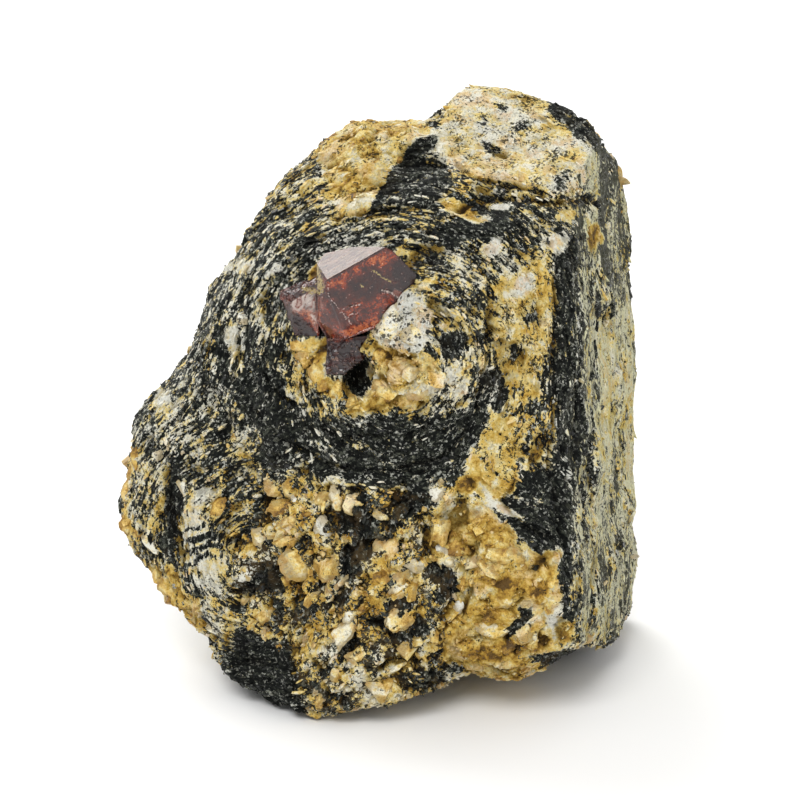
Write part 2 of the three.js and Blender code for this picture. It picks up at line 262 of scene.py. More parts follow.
# Spots and seams on the front: [across, up] as seen, half-lengths, turn in degrees, light, stain, specks.
SPOTS = (
    ((17.2, 28.8), (1.9, 0.9), -35, 0.0, 0, 0),  # black spot on the top patch
    ((18.9, 27.2), (1.4, 0.8), -60, 0.12, 0.1, 0),
    ((21, 25), (2.8, 0.6), -62, 0.1, 0.1, 0),  # dark rim of the top patch
    ((10.2, 25.2), (1.3, 0.5), -25, 0.4, 0.1, 0.9),  # dark clusters on the top patch
    ((13.4, 27.3), (1.6, 0.5), 10, 0.45, 0.1, 0.9),
    ((11.3, 29.4), (1.0, 0.5), -30, 0.4, 0.1, 0.9),
    ((9.2, 27.4), (0.7, 0.9), 0, 0.5, 0.1, 0.9),
    ((17.2, 22.2), (1.3, 0.6), 30, 0.35, 0.1, 0.9),
    ((0.8, 22.4), (4.2, 0.7), 52, 0, 0.1, 0),  # dark seam beside the ochre patch
    ((7.4, 19), (2.6, 0.5), -20, 1.2, 0.5, 0.2),  # tan streak over the slate
    ((9.8, 15.4), (1.1, 0.8), 20, 0.9, 0, 0.3),  # white spot above the right strip
    ((11.3, 19.3), (0.9, 0.5), 0, 0.9, 0, 0.2),
    ((16.6, 15.6), (1.3, 0.8), -15, 0.95, 0.15, 0.1),  # cream spot above the corner band
    ((17.6, 18.3), (1.2, 0.6), 25, 1.3, 0.4, 0),
    ((20.4, 16.2), (0.8, 1.1), -10, 1.3, 0.7, 0.2),  # ochre spot on the corner
    ((13, 22), (1.1, 0.7), 10, 1.0, 0.25, 0),  # cream foot of the top patch
    ((6.3, 5.6), (1.4, 1.0), 20, -0.2, 0, 0),  # slate on the knob
    ((-7.4, 12.4), (1.6, 0.6), 60, 1.1, 0.95, 0),  # rusty ledge beside the crystal
    ((-2.9, -12.6), (1.1, 2.6), 5, -0.1, 0, 0),  # black seams between the coarse grains
    ((-3.9, -16.4), (1.2, 2.0), 0, -0.1, 0, 0),
    ((-5.4, -19.8), (1.5, 0.6), 35, -0.1, 0, 0),
    ((1.2, -20.6), (1.6, 0.9), 20, -0.1, 0, 0),
    ((2.6, -9.6), (0.9, 2.4), -25, 0, 0, 0),
    ((4.6, -17.2), (0.9, 1.0), 0, -0.1, 0, 0),
    ((-13.4, -17.8), (2.2, 1.6), 20, 0.1, 0.1, 0),  # dark patch left of the grains
    ((-11.6, -5.4), (1.3, 2.0), 30, 0, 0, 0),
    ((8.5, -14.4), (2.3, 1.5), -20, 1.3, 0.74, 0),  # honey-brown quartz
    ((11, -18.4), (2.4, 0.5), -10, 1.3, 0.85, 0),
    ((15.8, -16.4), (1.1, 1.5), 0, 1.3, 0.7, 0),
    ((12.9, -22.4), (1.9, 0.4), 52, -0.2, 0, 0),  # black streaks in the golden patch
    ((13.4, -21.4), (0.7, 0.5), -40, -0.2, 0, 0),
    ((17.4, -17), (0.3, 3.4), 0, -0.1, 0, 0),
    ((5.5, -18.5), (0.8, 1.3), -20, -0.1, 0, 0),
    ((8, -8.4), (1.4, 0.9), 30, 1.2, 0.68, 0),  # orange spot over the golden patch
    ((11.9, -2.2), (0.5, 0.6), 0, 1.2, 0.6, 0),
    ((10.6, 1.6), (1.9, 1.0), -42, 0.12, 0.1, 0),  # dark patches in the right strip
    ((14.1, 8.3), (0.9, 0.45), 25, 0.1, 0.1, 0),
    ((12.4, 5.0), (0.6, 0.8), 0, 0.15, 0.2, 0),
    ((13.6, 11.6), (1.2, 0.9), 20, 1.3, 0.05, 0.4),  # white head of the right strip
    ((11, -25.4), (4.2, 0.9), 8, 1.2, 0.7, 0),  # brown lower rim of the golden patch
    ((17.6, -25.6), (3.4, 0.7), 8, -0.2, 0, 0),
    ((-21.8, -11), (0.6, 4.6), -8, -0.1, 0, 0),  # groove of the fold
    ((-18.8, -13.9), (1.9, 0.3), 12, -0.2, 0, 0),  # black stripes of the fold
    ((-18.4, -14.8), (2, 0.25), 20, -0.2, 0, 0),
    ((-16.4, -9.4), (1.4, 0.5), 50, 0, 0, 0),
    ((-19.4, -16.2), (1.7, 0.25), 24, -0.2, 0, 0),
    ((-19.6, -12.8), (1.2, 0.2), 20, -0.2, 0, 0),
    ((6.6, 1.6), (0.9, 1.5), 10, 0.9, 0.12, 0.6),  # grey-green spot on the knob
    ((-10.7, 10.1), (0.8, 0.8), 0, 0, 0, 0),  # dark end left of the crystal
    ((5.3, 7.6), (0.5, 0.3), 0, 1.4, 0, 0),
    # painted shade inside the vug
    ((-3.3, 2.3), (1.2, 1.6), 0, -0.2, 0, 0),  # dark inside of the vug
    ((-16.8, 4.2), (0.5, 2.3), 8, -0.05, 0, 0),  # groove down the left flank
    ((-22.9, 0.5), (0.6, 0.8), 0, 0.9, 0, 0),  # single grains on the left flank
    ((-21.1, 6), (0.6, 0.5), 0, 1.2, 0.4, 0),
    ((-15.8, 6), (0.6, 1.5), 5, 0.75, 0.12, 0.3),
    ((-16.2, 13.4), (1.3, 0.5), 60, 0.75, 0.05, 0.3),
    ((-14.5, 13.3), (0.8, 0.6), 20, 0.75, 0.12, 0.3),
    ((-14.6, 17), (1.3, 0.5), 55, 0.95, 0.45, 0),
    ((16.5, -22.6), (0.5, 1.6), -10, 1.4, 0.05, 0),  # white rim of the golden patch
    ((10.8, -10.4), (2.6, 0.3), -38, 1.4, 0.1, 0),
)
SPOT_EDGE = 0.25  # softness of a spot's rim

# Cracks and partings in the front: half-width and depth, then [across, up] as seen.
CRACKS = (
    (0.28, 0.55, ((5.7, 18.5), (8, 19.8), (10, 20.5), (13, 20.3), (16, 20), (18.5, 20.2), (21, 19.6))),
    (0.2, 0.4, ((6.5, 23.5), (8, 22.7), (9, 22.2), (11, 21.7), (13, 21.5), (15.5, 20.9))),
    (0.18, 0.4, ((10.3, 25.6), (10.8, 24.9), (11.9, 24.6))),
    (0.22, 0.4, ((3.9, 16.6), (5.7, 18.5), (6.6, 19.3))),
    (0.16, 0.3, ((-9, 15.5), (-6, 16.8), (-3, 17.2), (0.5, 17.4), (4, 17.2), (8, 16.8), (12, 16))),
    (0.18, 0.35, ((-6, 18.5), (-3, 18.8), (0, 19.3), (3.5, 19.5), (6, 21))),
    (0.22, 0.45, ((-14, 13), (-15, 10), (-15.4, 7), (-15.2, 4.5), (-15.8, 2))),
    (0.2, 0.4, ((-12.8, 6.5), (-13.2, 4), (-12.2, 1.5), (-10, -0.5))),
    (0.22, 0.4, ((-14, -1), (-11, -4), (-7, -6), (-3, -7), (1, -6.8), (5, -5.5), (8, -3))),
    (0.16, 0.3, ((-9, -2.5), (-5, -3.7), (-1, -4), (3, -3.2), (6, -1.5), (7.8, 0.5))),
    (0.25, 0.5, ((9.8, 12.5), (10.2, 9), (10, 5), (9.4, 1.5), (8.8, -1))),
    (0.25, 0.5, ((16.6, 13), (16.8, 7), (16.6, 0), (16.2, -5), (16.6, -10), (17.6, -14))),
    (0.16, 0.3, ((18.5, 16), (19, 8), (18.8, -2), (19.4, -12), (19.2, -20))),
    (0.14, 0.25, ((20.2, 17), (20.8, 10), (20.5, 2), (20.2, -7), (20.6, -16), (20.2, -23))),
    (0.35, 0.7, ((-22.5, -7), (-22.2, -10), (-21.8, -13), (-20.8, -16))),
    (0.25, 0.5, ((-16, -19), (-13, -20), (-10.5, -22.5), (-9.8, -26), (-10, -30))),
    (0.25, 0.5, ((-1, -27.2), (2, -25.5), (5, -23.5), (7.2, -21.2), (8, -19))),
    (0.3, 0.6, ((-4.6, -11.5), (-4.2, -15), (-4.8, -18.5), (-6, -21.2))),
    (0.28, 0.55, ((1.5, -8), (2.2, -11), (3.6, -13.5), (5, -17.5))),
    (0.25, 0.5, ((-12.6, -8), (-12.2, -12), (-10.8, -14.6), (-9, -19))),
    (0.22, 0.4, ((12.5, -7.8), (11, -10), (13, -12.5), (15.5, -13.5), (17.5, -14.5))),
)
KHAKI_PATCH = (  # the pale part of the right side, [across, up] as seen
    (21, 12), (22.6, 10.5), (23.6, 6), (24.8, 0), (25.4, -6), (23.6, -9), (21.6, -6), (20.6, -2),
    (20.2, 3), (20.6, 8))
KHAKI_EDGE = 1.6  # half the width of its soft edge
RIGHT_TURN = (0.72, 0.9)  # the right side is where the rock faces this far to the right
RIGHT_START = (16, 19)  # and lies this far across
ZONE_WOBBLE = 0.9  # how far the zones' edges wander
SPOT_WOBBLE = 0.6
CRACK_WOBBLE = 0.35
FRONT_DEPTH = (-6, 2)  # the front's zones fade out over this stretch of depth

# The layers wrap round these eyes, each [across, up] with a head start in millimetres.
LAYER_EYES = ((1, 3, 0), (-13, -14.8, 2), (11, -18, 2))
LAYER_BLEND = 3.0
BACK_DEPTH = -2  # behind this the eyes dive ever faster into the base, and the layers arch over them
BACK_DIVE = 0.09
TURN_LENGTH = 14  # length along the layers of a radian round the first eye


def wrapped(face_places):
    """How deep in the layers each place is, and the direction across them, in the face frame."""
    dive = BACK_DIVE * np.maximum(0, BACK_DEPTH - face_places[:, 2]) ** 2
    total = np.zeros(len(face_places))
    across_layers = np.zeros((len(face_places), 3))
    for across, up, start in LAYER_EYES:
        away = face_places[:, :2] - np.array((across, up))
        away[:, 1] += dive
        reach = np.maximum(np.linalg.norm(away, axis=1), 0.01)
        pull = np.exp(-(reach + start) / LAYER_BLEND)
        total += pull
        across_layers[:, :2] += away * (pull / reach)[:, None]
    across_layers /= np.maximum(np.linalg.norm(across_layers, axis=1), 1e-6)[:, None]
    sway = noise_at(face_places, 8, 3.1) + 0.5 * noise_at(face_places, 3.5, 9.7)
    return -LAYER_BLEND * np.log(total) + sway, across_layers


def along_layers(face_places, layers):
    """Places in a frame that follows the layers: along them, out of the face, and across them."""
    across, up, _ = LAYER_EYES[0]
    # The turn is counted from straight down and to the left, where the coarse grains hide its seam.
    turn = np.arctan2(face_places[:, 0] - across - up + face_places[:, 1], across - face_places[:, 0]
                      + face_places[:, 1] - up)
    return np.stack([turn * TURN_LENGTH, face_places[:, 2], layers], axis=1)


def wander(face_places):
    """A small random shift across and up, for edges that aren't drawn with a ruler."""
    drift = np.stack([noise_at(face_places, 2.6, shift) for shift in (1.3, 5.9)], axis=1)
    return drift + 0.5 * np.stack([noise_at(face_places, 1.1, shift) for shift in (2.3, 7.9)], axis=1)


def spot_share(seen, middle, halves, turn):
    """1 inside an oval on the front and 0 outside it."""
    turn = math.radians(turn)
    away = seen - np.array(middle)
    long = away @ np.array((math.cos(turn), math.sin(turn))) / halves[0]
    short = away @ np.array((-math.sin(turn), math.cos(turn))) / halves[1]
    return smooth_step(SPOT_EDGE, -SPOT_EDGE, (np.hypot(long, short) - 1) * min(halves))


def zone_fields(face_places, outward, layers):
    """The share of each thing in ZONES at every place, and how far it is on the right side."""
    seen = as_seen(face_places)
    drift = wander(face_places)
    front = smooth_step(*FRONT_DEPTH, face_places[:, 2])
    fields = {key: np.full(len(seen), value) for key, value in GROUND.items()}
    patches = noise_at(face_places, 11, 4.4) + 0.5 * noise_at(face_places, 5, 8.2)
    bands = np.stack([layers / 2.2, face_places[:, 0] / 25, face_places[:, 2] / 25], axis=1)
    fields["light"] += (0.3 * patches + 0.45 * noise_at(bands, 1, 1.7)) * (1 - front)
    fields["stain"] += 0.4 * noise_at(face_places, 9, 6.6) * (1 - front)
    fields["coarse"] += 0.7 * smooth_step(0.0, 0.4, noise_at(face_places, 12, 2.2)) * (1 - front)
    for zone in ZONES.values():
        inside = distance_inside(seen + ZONE_WOBBLE * drift, zone["outline"])
        share = smooth_step(-zone["edge"] / 2, zone["edge"] / 2, inside) * front
        for key in GROUND:
            fields[key] += (zone.get(key, GROUND[key]) - fields[key]) * share
    side = smooth_step(*RIGHT_TURN, outward[:, 0]) * smooth_step(*RIGHT_START, face_places[:, 0])
    inside = distance_inside(seen + ZONE_WOBBLE * drift, KHAKI_PATCH)
    khaki = smooth_step(-KHAKI_EDGE, KHAKI_EDGE, inside)
    shades = noise_at(face_places * np.array((1, 0.3, 1)), 3.2, 5.1)
    shades -= 0.42 * smooth_step(3, 14, face_places[:, 1])
    looks = {"light": 0.58 + 0.6 * shades + 0.25 * khaki, "stain": 0.06 + 0.12 * khaki, "coarse": 0,
             "specks": 0.3, "rough": 0.5}
    for key, value in looks.items():
        fields[key] += (value - fields[key]) * side
    for middle, halves, turn, light, stain, specks in SPOTS:
        share = spot_share(seen + SPOT_WOBBLE * drift, middle, halves, turn) * front
        for key, value in (("light", light), ("stain", stain), ("specks", specks)):
            fields[key] += (value - fields[key]) * share
    fields["side"] = side
    return fields


def crack_depth(face_places):
    """How deep the cracks cut at every place."""
    seen = as_seen(face_places) + CRACK_WOBBLE * wander(face_places)
    front = smooth_step(*FRONT_DEPTH, face_places[:, 2])
    deepest = np.zeros(len(seen))
    for half, depth, path in CRACKS:
        path = np.array(path)
        near = close_to(seen, path)
        for start, end in zip(path, path[1:]):
            off = distance_to_line(seen[near], start, end)
            deepest[near] = np.maximum(deepest[near], depth * smooth_step(2 * half, 0, off))
    return deepest * front


# ---------------------------------------------------------------- meshes

def coordinates(mesh):
    found = np.empty(len(mesh.vertices) * 3, np.float32)
    mesh.vertices.foreach_get("co", found)
    return found.reshape(-1, 3).astype(float)


def place_vertices(mesh, places):
    mesh.vertices.foreach_set("co", places.astype(np.float32).ravel())
    mesh.update()


def outward_normals(mesh):
    found = np.empty(len(mesh.vertices) * 3, np.float32)
    mesh.vertices.foreach_get("normal", found)
    return found.reshape(-1, 3).astype(float)


def add_piece(name, mesh, material, slot, *replaced):
    """Puts a finished mesh into the scene, in place of the CAD nodes that it replaces."""
    piece = bpy.data.objects.new(name, mesh)
    bpy.context.scene.collection.objects.link(piece)
    mesh.materials.clear()
    mesh.materials.append(material)
    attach(piece, "root")
    if replaced:
        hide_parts(*replaced)
    return piece


def merged_copy(node):
    """A copy of a CAD node's mesh with its loose corners merged."""
    shape = bmesh.new()
    shape.from_mesh(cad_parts[node].data)
    bmesh.ops.remove_doubles(shape, verts=shape.verts, dist=SAME_CORNER)
    return shape


def store(mesh, name, values):
    """Keeps one number for each vertex, for the materials."""
    attribute = mesh.attributes.new(name, "FLOAT", "POINT")
    attribute.data.foreach_set("value", values.astype(np.float32))


def with_modifier(mesh, kind, weights=None, **settings):
    """The mesh as a modifier leaves it, with weights for its vertices in tenths, where they are given."""
    holder = bpy.data.objects.new("holder", mesh)
    bpy.context.scene.collection.objects.link(holder)
    modifier = holder.modifiers.new("shape", kind)
    if weights is not None:
        group = holder.vertex_groups.new(name="weights")
        modifier.vertex_group = group.name
        tenths = np.round(weights * 10)
        for tenth in np.unique(tenths):
            group.add(np.flatnonzero(tenths == tenth).tolist(), tenth / 10, "REPLACE")
    for name, value in settings.items():
        setattr(modifier, name, value)
    changed = bpy.data.meshes.new_from_object(holder.evaluated_get(bpy.context.evaluated_depsgraph_get()))
    bpy.data.objects.remove(holder)
    bpy.data.meshes.remove(mesh)
    return changed


def remeshed(shape):
    """The same closed surface as an even mesh."""
    mesh = bpy.data.meshes.new("rock")
    shape.to_mesh(mesh)
    return with_modifier(mesh, "REMESH", mode="VOXEL", voxel_size=VOXEL * MM)


def thinned(mesh, triangles, weights):
    """The same surface with fewer triangles, kept where it bends most and where the weights are low."""
    share = triangles / (2 * len(mesh.polygons))
    return with_modifier(mesh, "DECIMATE", weights, ratio=share, vertex_group_factor=WEIGHT_PULL)


def drop_doubled_faces(mesh):
    """Deletes faces that share all their corners, strays that thinning can leave."""
    shape = bmesh.new()
    shape.from_mesh(mesh)
    alike = {}
    for face in shape.faces:
        alike.setdefault(frozenset(face.verts), []).append(face)
    doubled = [face for faces in alike.values() if len(faces) > 1 for face in faces]
    bmesh.ops.delete(shape, geom=doubled, context="FACES")
    shape.to_mesh(mesh)


BLOCKS = ((2.3, 0.5), (1.15, 0.28), (0.6, 0.13))  # the broken grains' spacing, and how far they stand
BLOCK_TILT = 2.2  # how much their faces slope
BLOCK_CREASE = (0.5, 0.14)  # depth and width of the crease between two grains
FLAKES = (2.4, 2.0, 0.85)  # spacing of the flakes along the layers, out of the face and across
FLAKE_HEIGHT = 0.24
LEDGE_HEIGHT = 0.2
RIB_HEIGHT = 0.22  # upright ribs of the right side
PIT_DEPTH = 0.7
GRAIN_LEAN = math.radians(52)  # the coarse grains are drawn out up to the right
GRAIN_DRAW = 1.5
SEAT_REACH = 0.62  # rock nearer than this to the crystal closes up to it
SEAT_GAP = 0.05
SEAT_FADE = (0.3, 1.6)  # the relief fades out towards the crystal over this stretch
SEAT_SEARCH = 14  # rock farther than this from the crystal's middle is not near it
SEAT_SIGHT = 2  # how far from a place the crystal is looked for
FINE_DEPTH = (-6, 4)  # the surface stays fine from this depth forwards
FINE_TURN = (-0.3, 0.3)  # where it faces this far to the front
FINE_SHARE = 0.9  # how much of the thinning is kept off there


def scattered(cells):
    """Three random numbers from 0 to 1 for each whole-numbered cell, always the same ones."""
    mixed = (cells * (73856093, 19349663, 83492791)).sum(axis=1) & 0xFFFFFFFF
    numbers = []
    for salt in (0x9E3779B1, 0x85EBCA6B, 0xC2B2AE35):
        mixed = ((mixed ^ (mixed >> 15)) * salt) & 0xFFFFFFFF
        mixed = mixed ^ (mixed >> 13)
        numbers.append(mixed / 0x100000000)
    return np.stack(numbers, axis=1)


def cells_at(places):
    """For the grain that holds each place: its random numbers, the way from its middle, its edge."""
    home = np.floor(places).astype(np.int64)
    nearest, second = np.full(len(places), np.inf), np.full(len(places), np.inf)
    middles = np.zeros((len(places), 3))
    for step in np.ndindex(3, 3, 3):
        cell = home + np.array(step) - 1
        middle = cell + scattered(cell)
        reach = np.linalg.norm(places - middle, axis=1)
        closer = reach < nearest
        second = np.where(closer, nearest, np.minimum(second, reach))
        nearest = np.where(closer, reach, nearest)
        middles[closer] = middle[closer]
    own = scattered(np.floor(middles * 1000).astype(np.int64))
    return own - 0.5, places - middles, second - nearest


def drawn_out(face_places):
    """Places squeezed along the coarse grains' long direction."""
    long = np.array((math.cos(GRAIN_LEAN), math.sin(GRAIN_LEAN), 0))
    return face_places - np.outer(face_places @ long, long) * (1 - 1 / GRAIN_DRAW)


def block_relief(cells, height):
    """Each grain is a flat facet with its own height and tilt, parted from the next by a crease."""
    own, away, edge = cells
    tilt = (own[:, [1, 2, 0]] * away).sum(axis=1)
    depth, width = BLOCK_CREASE
    return height * (own[:, 0] + BLOCK_TILT * tilt - depth * (1 - smooth_step(0, width, edge)))


def grain_pick(face_places):
    """For the coarse grain at each place, how likely it is to be pale and how stained, from 0 to 1."""
    grains, _, _ = cells_at(drawn_out(face_places) / BLOCKS[0][0])
    chips, _, _ = cells_at(drawn_out(face_places) / BLOCKS[1][0])
    mixed = grains * 0.65 + chips * 0.35 + 0.5
    return mixed[:, 0], mixed[:, 1]


def rock_relief(face_places, fields, layers):
    """How far the broken surface stands out from the smooth block."""
    coarse = np.clip(fields["coarse"], 0, 1)
    fine = 1 - coarse
    rough, side = fields["rough"], fields["side"]
    rise = 0.22 * noise_at(face_places, 3.7, 0.7) - 0.14
    flakes = cells_at(along_layers(face_places, layers) / np.array(FLAKES))
    rise += fine * rough * block_relief(flakes, FLAKE_HEIGHT)
    ledges = np.stack([face_places[:, 0] / 5, face_places[:, 1] / 5, layers / 1.7], axis=1)
    rise += fine * LEDGE_HEIGHT * rough * (1 - side) * (0.5 - np.abs(noise_at(ledges, 1, 5.5)) * 2)
    ribs = np.stack([layers / 1.3, face_places[:, 1] / 7, face_places[:, 2] / 1.1], axis=1)
    rise += side * RIB_HEIGHT * noise_at(ribs, 1, 2.5)
    for size, height in BLOCKS:
        blocks = block_relief(cells_at(drawn_out(face_places) / size), height)
        rise += (0.15 * rough + 0.85 * coarse) * (1 - side) * blocks
    rise += rough * (0.12 * noise_at(face_places, 0.9, 1.9) + 0.08 * noise_at(face_places, 0.45, 2.9))
    pits = noise_at(face_places, 2.0, 12.4) + 0.35 * noise_at(face_places, 0.8, 3.4)
    pits = rough * smooth_step(0.36, 0.6, pits)
    rise -= PIT_DEPTH * pits * (0.25 + 0.75 * coarse) * (1 - 0.7 * side)
    return rise - crack_depth(face_places)


def seat(places, moved):
    """Draws the rock round the crystal up to it, and tells how far each place was from it."""
    shape = merged_copy("zircon")
    tree = BVHTree.FromBMesh(shape)
    middle = np.mean([vertex.co for vertex in shape.verts], axis=0) / MM
    reach = np.full(len(places), np.inf)
    for i in np.flatnonzero(np.linalg.norm(places - middle, axis=1) < SEAT_SEARCH):
        nearest, _, _, distance = tree.find_nearest(Vector(places[i] * MM), SEAT_SIGHT * MM)
        if nearest is None:
            continue
        reach[i] = distance / MM
        if reach[i] < SEAT_REACH:
            away = Vector(places[i]) - nearest / MM
            moved[i] = nearest / MM + away.normalized() * SEAT_GAP
    return reach


def rock_mesh():
    """The matrix of the CAD, broken and flaked, with what its finish needs stored at every vertex."""
    mesh = remeshed(merged_copy("matrix"))
    places = coordinates(mesh) / MM
    outward = outward_normals(mesh)
    face_places = to_face(places)
    layers, _ = wrapped(face_places)
    rise = rock_relief(face_places, zone_fields(face_places, outward, layers), layers)
    reach = seat(places, np.zeros_like(places))
    moved = places + outward * (rise * smooth_step(*SEAT_FADE, reach))[:, None]
    seat(places, moved)
    place_vertices(mesh, np.clip(moved * MM, *cad_box))
    # how deep each place lies in a hollow, for rust and for painted shade there
    store(mesh, "hollow", np.clip(-rise, -1, 1))
    front = smooth_step(*FINE_DEPTH, face_places[:, 2]) * smooth_step(*FINE_TURN, outward @ np.array(OUT))
    mesh = thinned(mesh, ROCK_TRIANGLES, 1 - FINE_SHARE * front)
    place_vertices(mesh, np.clip(coordinates(mesh), *cad_box))
    drop_doubled_faces(mesh)

    face_places = to_face(coordinates(mesh) / MM)
    layers, _ = wrapped(face_places)
    looks = zone_fields(face_places, outward_normals(mesh), layers)
    looks["layers"] = layers
    looks["grain"], looks["grain_tint"] = grain_pick(face_places)
    for name, values in looks.items():
        store(mesh, name, values)
    mesh.shade_smooth()
    mesh.set_sharp_from_angle(angle=CREASE)
    return mesh


# ---------------------------------------------------------------- grains

BLOCK_MERGE = 0.06  # slivers of a block shorter than this are closed up
LUMP_EDGE = 0.22  # longest mesh edge on a lump, before its place and size are applied
STOCK = 8  # different shapes that the small grains of one kind are picked from
BLOCK_STOCK = 12


def block_shape(random, cuts, nearest):
    """A block about 2 across, with flat broken faces at least nearest from its middle."""
    shape = bmesh.new()
    bmesh.ops.create_cube(shape, size=2)
    for _ in range(cuts):
        way = Vector(random.normal(size=3)).normalized()
        cut = bmesh.ops.bisect_plane(
            shape, geom=shape.verts[:] + shape.edges[:] + shape.faces[:],
            plane_co=way * random.uniform(nearest, 0.98), plane_no=way, clear_outer=True)
        rim = [item for item in cut["geom_cut"] if isinstance(item, bmesh.types.BMEdge)]
        bmesh.ops.edgeloop_fill(shape, edges=rim)
    bmesh.ops.remove_doubles(shape, verts=shape.verts, dist=BLOCK_MERGE)
    bmesh.ops.triangulate(shape, faces=shape.faces)
    bmesh.ops.recalc_face_normals(shape, faces=shape.faces)
    return shape


def pebble_shape(random):
    """A small uneven ball about 2 across."""
    shape = bmesh.new()
    bmesh.ops.create_icosphere(shape, subdivisions=1, radius=1)
    for vertex in shape.verts:
        vertex.co *= 1 + random.uniform(-0.25, 0.25)
    return shape


def flake_shape(random):
    """A five-sided plate about 2 across with a ragged rim, thin once it is laid."""
    shape = bmesh.new()
    bmesh.ops.create_cone(shape, cap_ends=True, segments=5, radius1=1, radius2=0.9, depth=2)
    for vertex in shape.verts:
        vertex.co.xy *= 1 + random.uniform(-0.3, 0.25)
    bmesh.ops.triangulate(shape, faces=shape.faces)
    return shape


def lump_shape(random):
    """A broken lump about 2 across, rounded and roughened."""
    shape = block_shape(random, cuts=20, nearest=0.66)
    for _ in range(3):
        long = [edge for edge in shape.edges if edge.calc_length() > LUMP_EDGE]
        bmesh.ops.subdivide_edges(shape, edges=long, cuts=1)
        bmesh.ops.triangulate(shape, faces=shape.faces)
    bmesh.ops.smooth_vert(
        shape, verts=shape.verts, factor=0.5, use_axis_x=True, use_axis_y=True, use_axis_z=True)
    shift = Vector(random.uniform(0, 50, size=3))
    shape.normal_update()
    for vertex in shape.verts:
        swell = 0.20 * noise.noise(vertex.co * 1.6 + shift) + 0.12 * noise.noise(vertex.co * 4.5 + shift)
        vertex.co += vertex.normal * swell
    return shape


def joined(name, shapes, picks, places, axes, shades):
    """One mesh of many small shapes. axes holds each one's half-lengths as the rows of a matrix.

    Each corner keeps its height in its own shape, from -1 to 1, unless shades give one height for it all.
    """
    corners, faces, owners, heights, count = [], [], [], [], 0
    for i, shape in enumerate(shapes):
        mine = np.flatnonzero(picks == i)
        own = np.array([vertex.co for vertex in shape.verts])
        own_faces = np.array([[vertex.index for vertex in face.verts] for face in shape.faces])
        corners.append((own @ axes[mine] + places[mine][:, None]).reshape(-1, 3))
        starts = count + len(own) * np.arange(len(mine))
        faces.append((own_faces + starts[:, None, None]).reshape(-1, 3))
        owners.append(np.repeat(mine, len(own)))
        heights.append(np.tile(own[:, 2], len(mine)))
        count += len(own) * len(mine)
    owners = np.concatenate(owners)
    low, high = np.array(cad_box) / MM
    mesh = bpy.data.meshes.new(name)
    mesh.from_pydata((np.clip(np.concatenate(corners), low, high) * MM).tolist(), [],
                     np.concatenate(faces).tolist())
    for key, values in shades.items():
        store(mesh, key, values[owners])
    if "height" not in shades:
        store(mesh, "height", np.concatenate(heights))
    return mesh


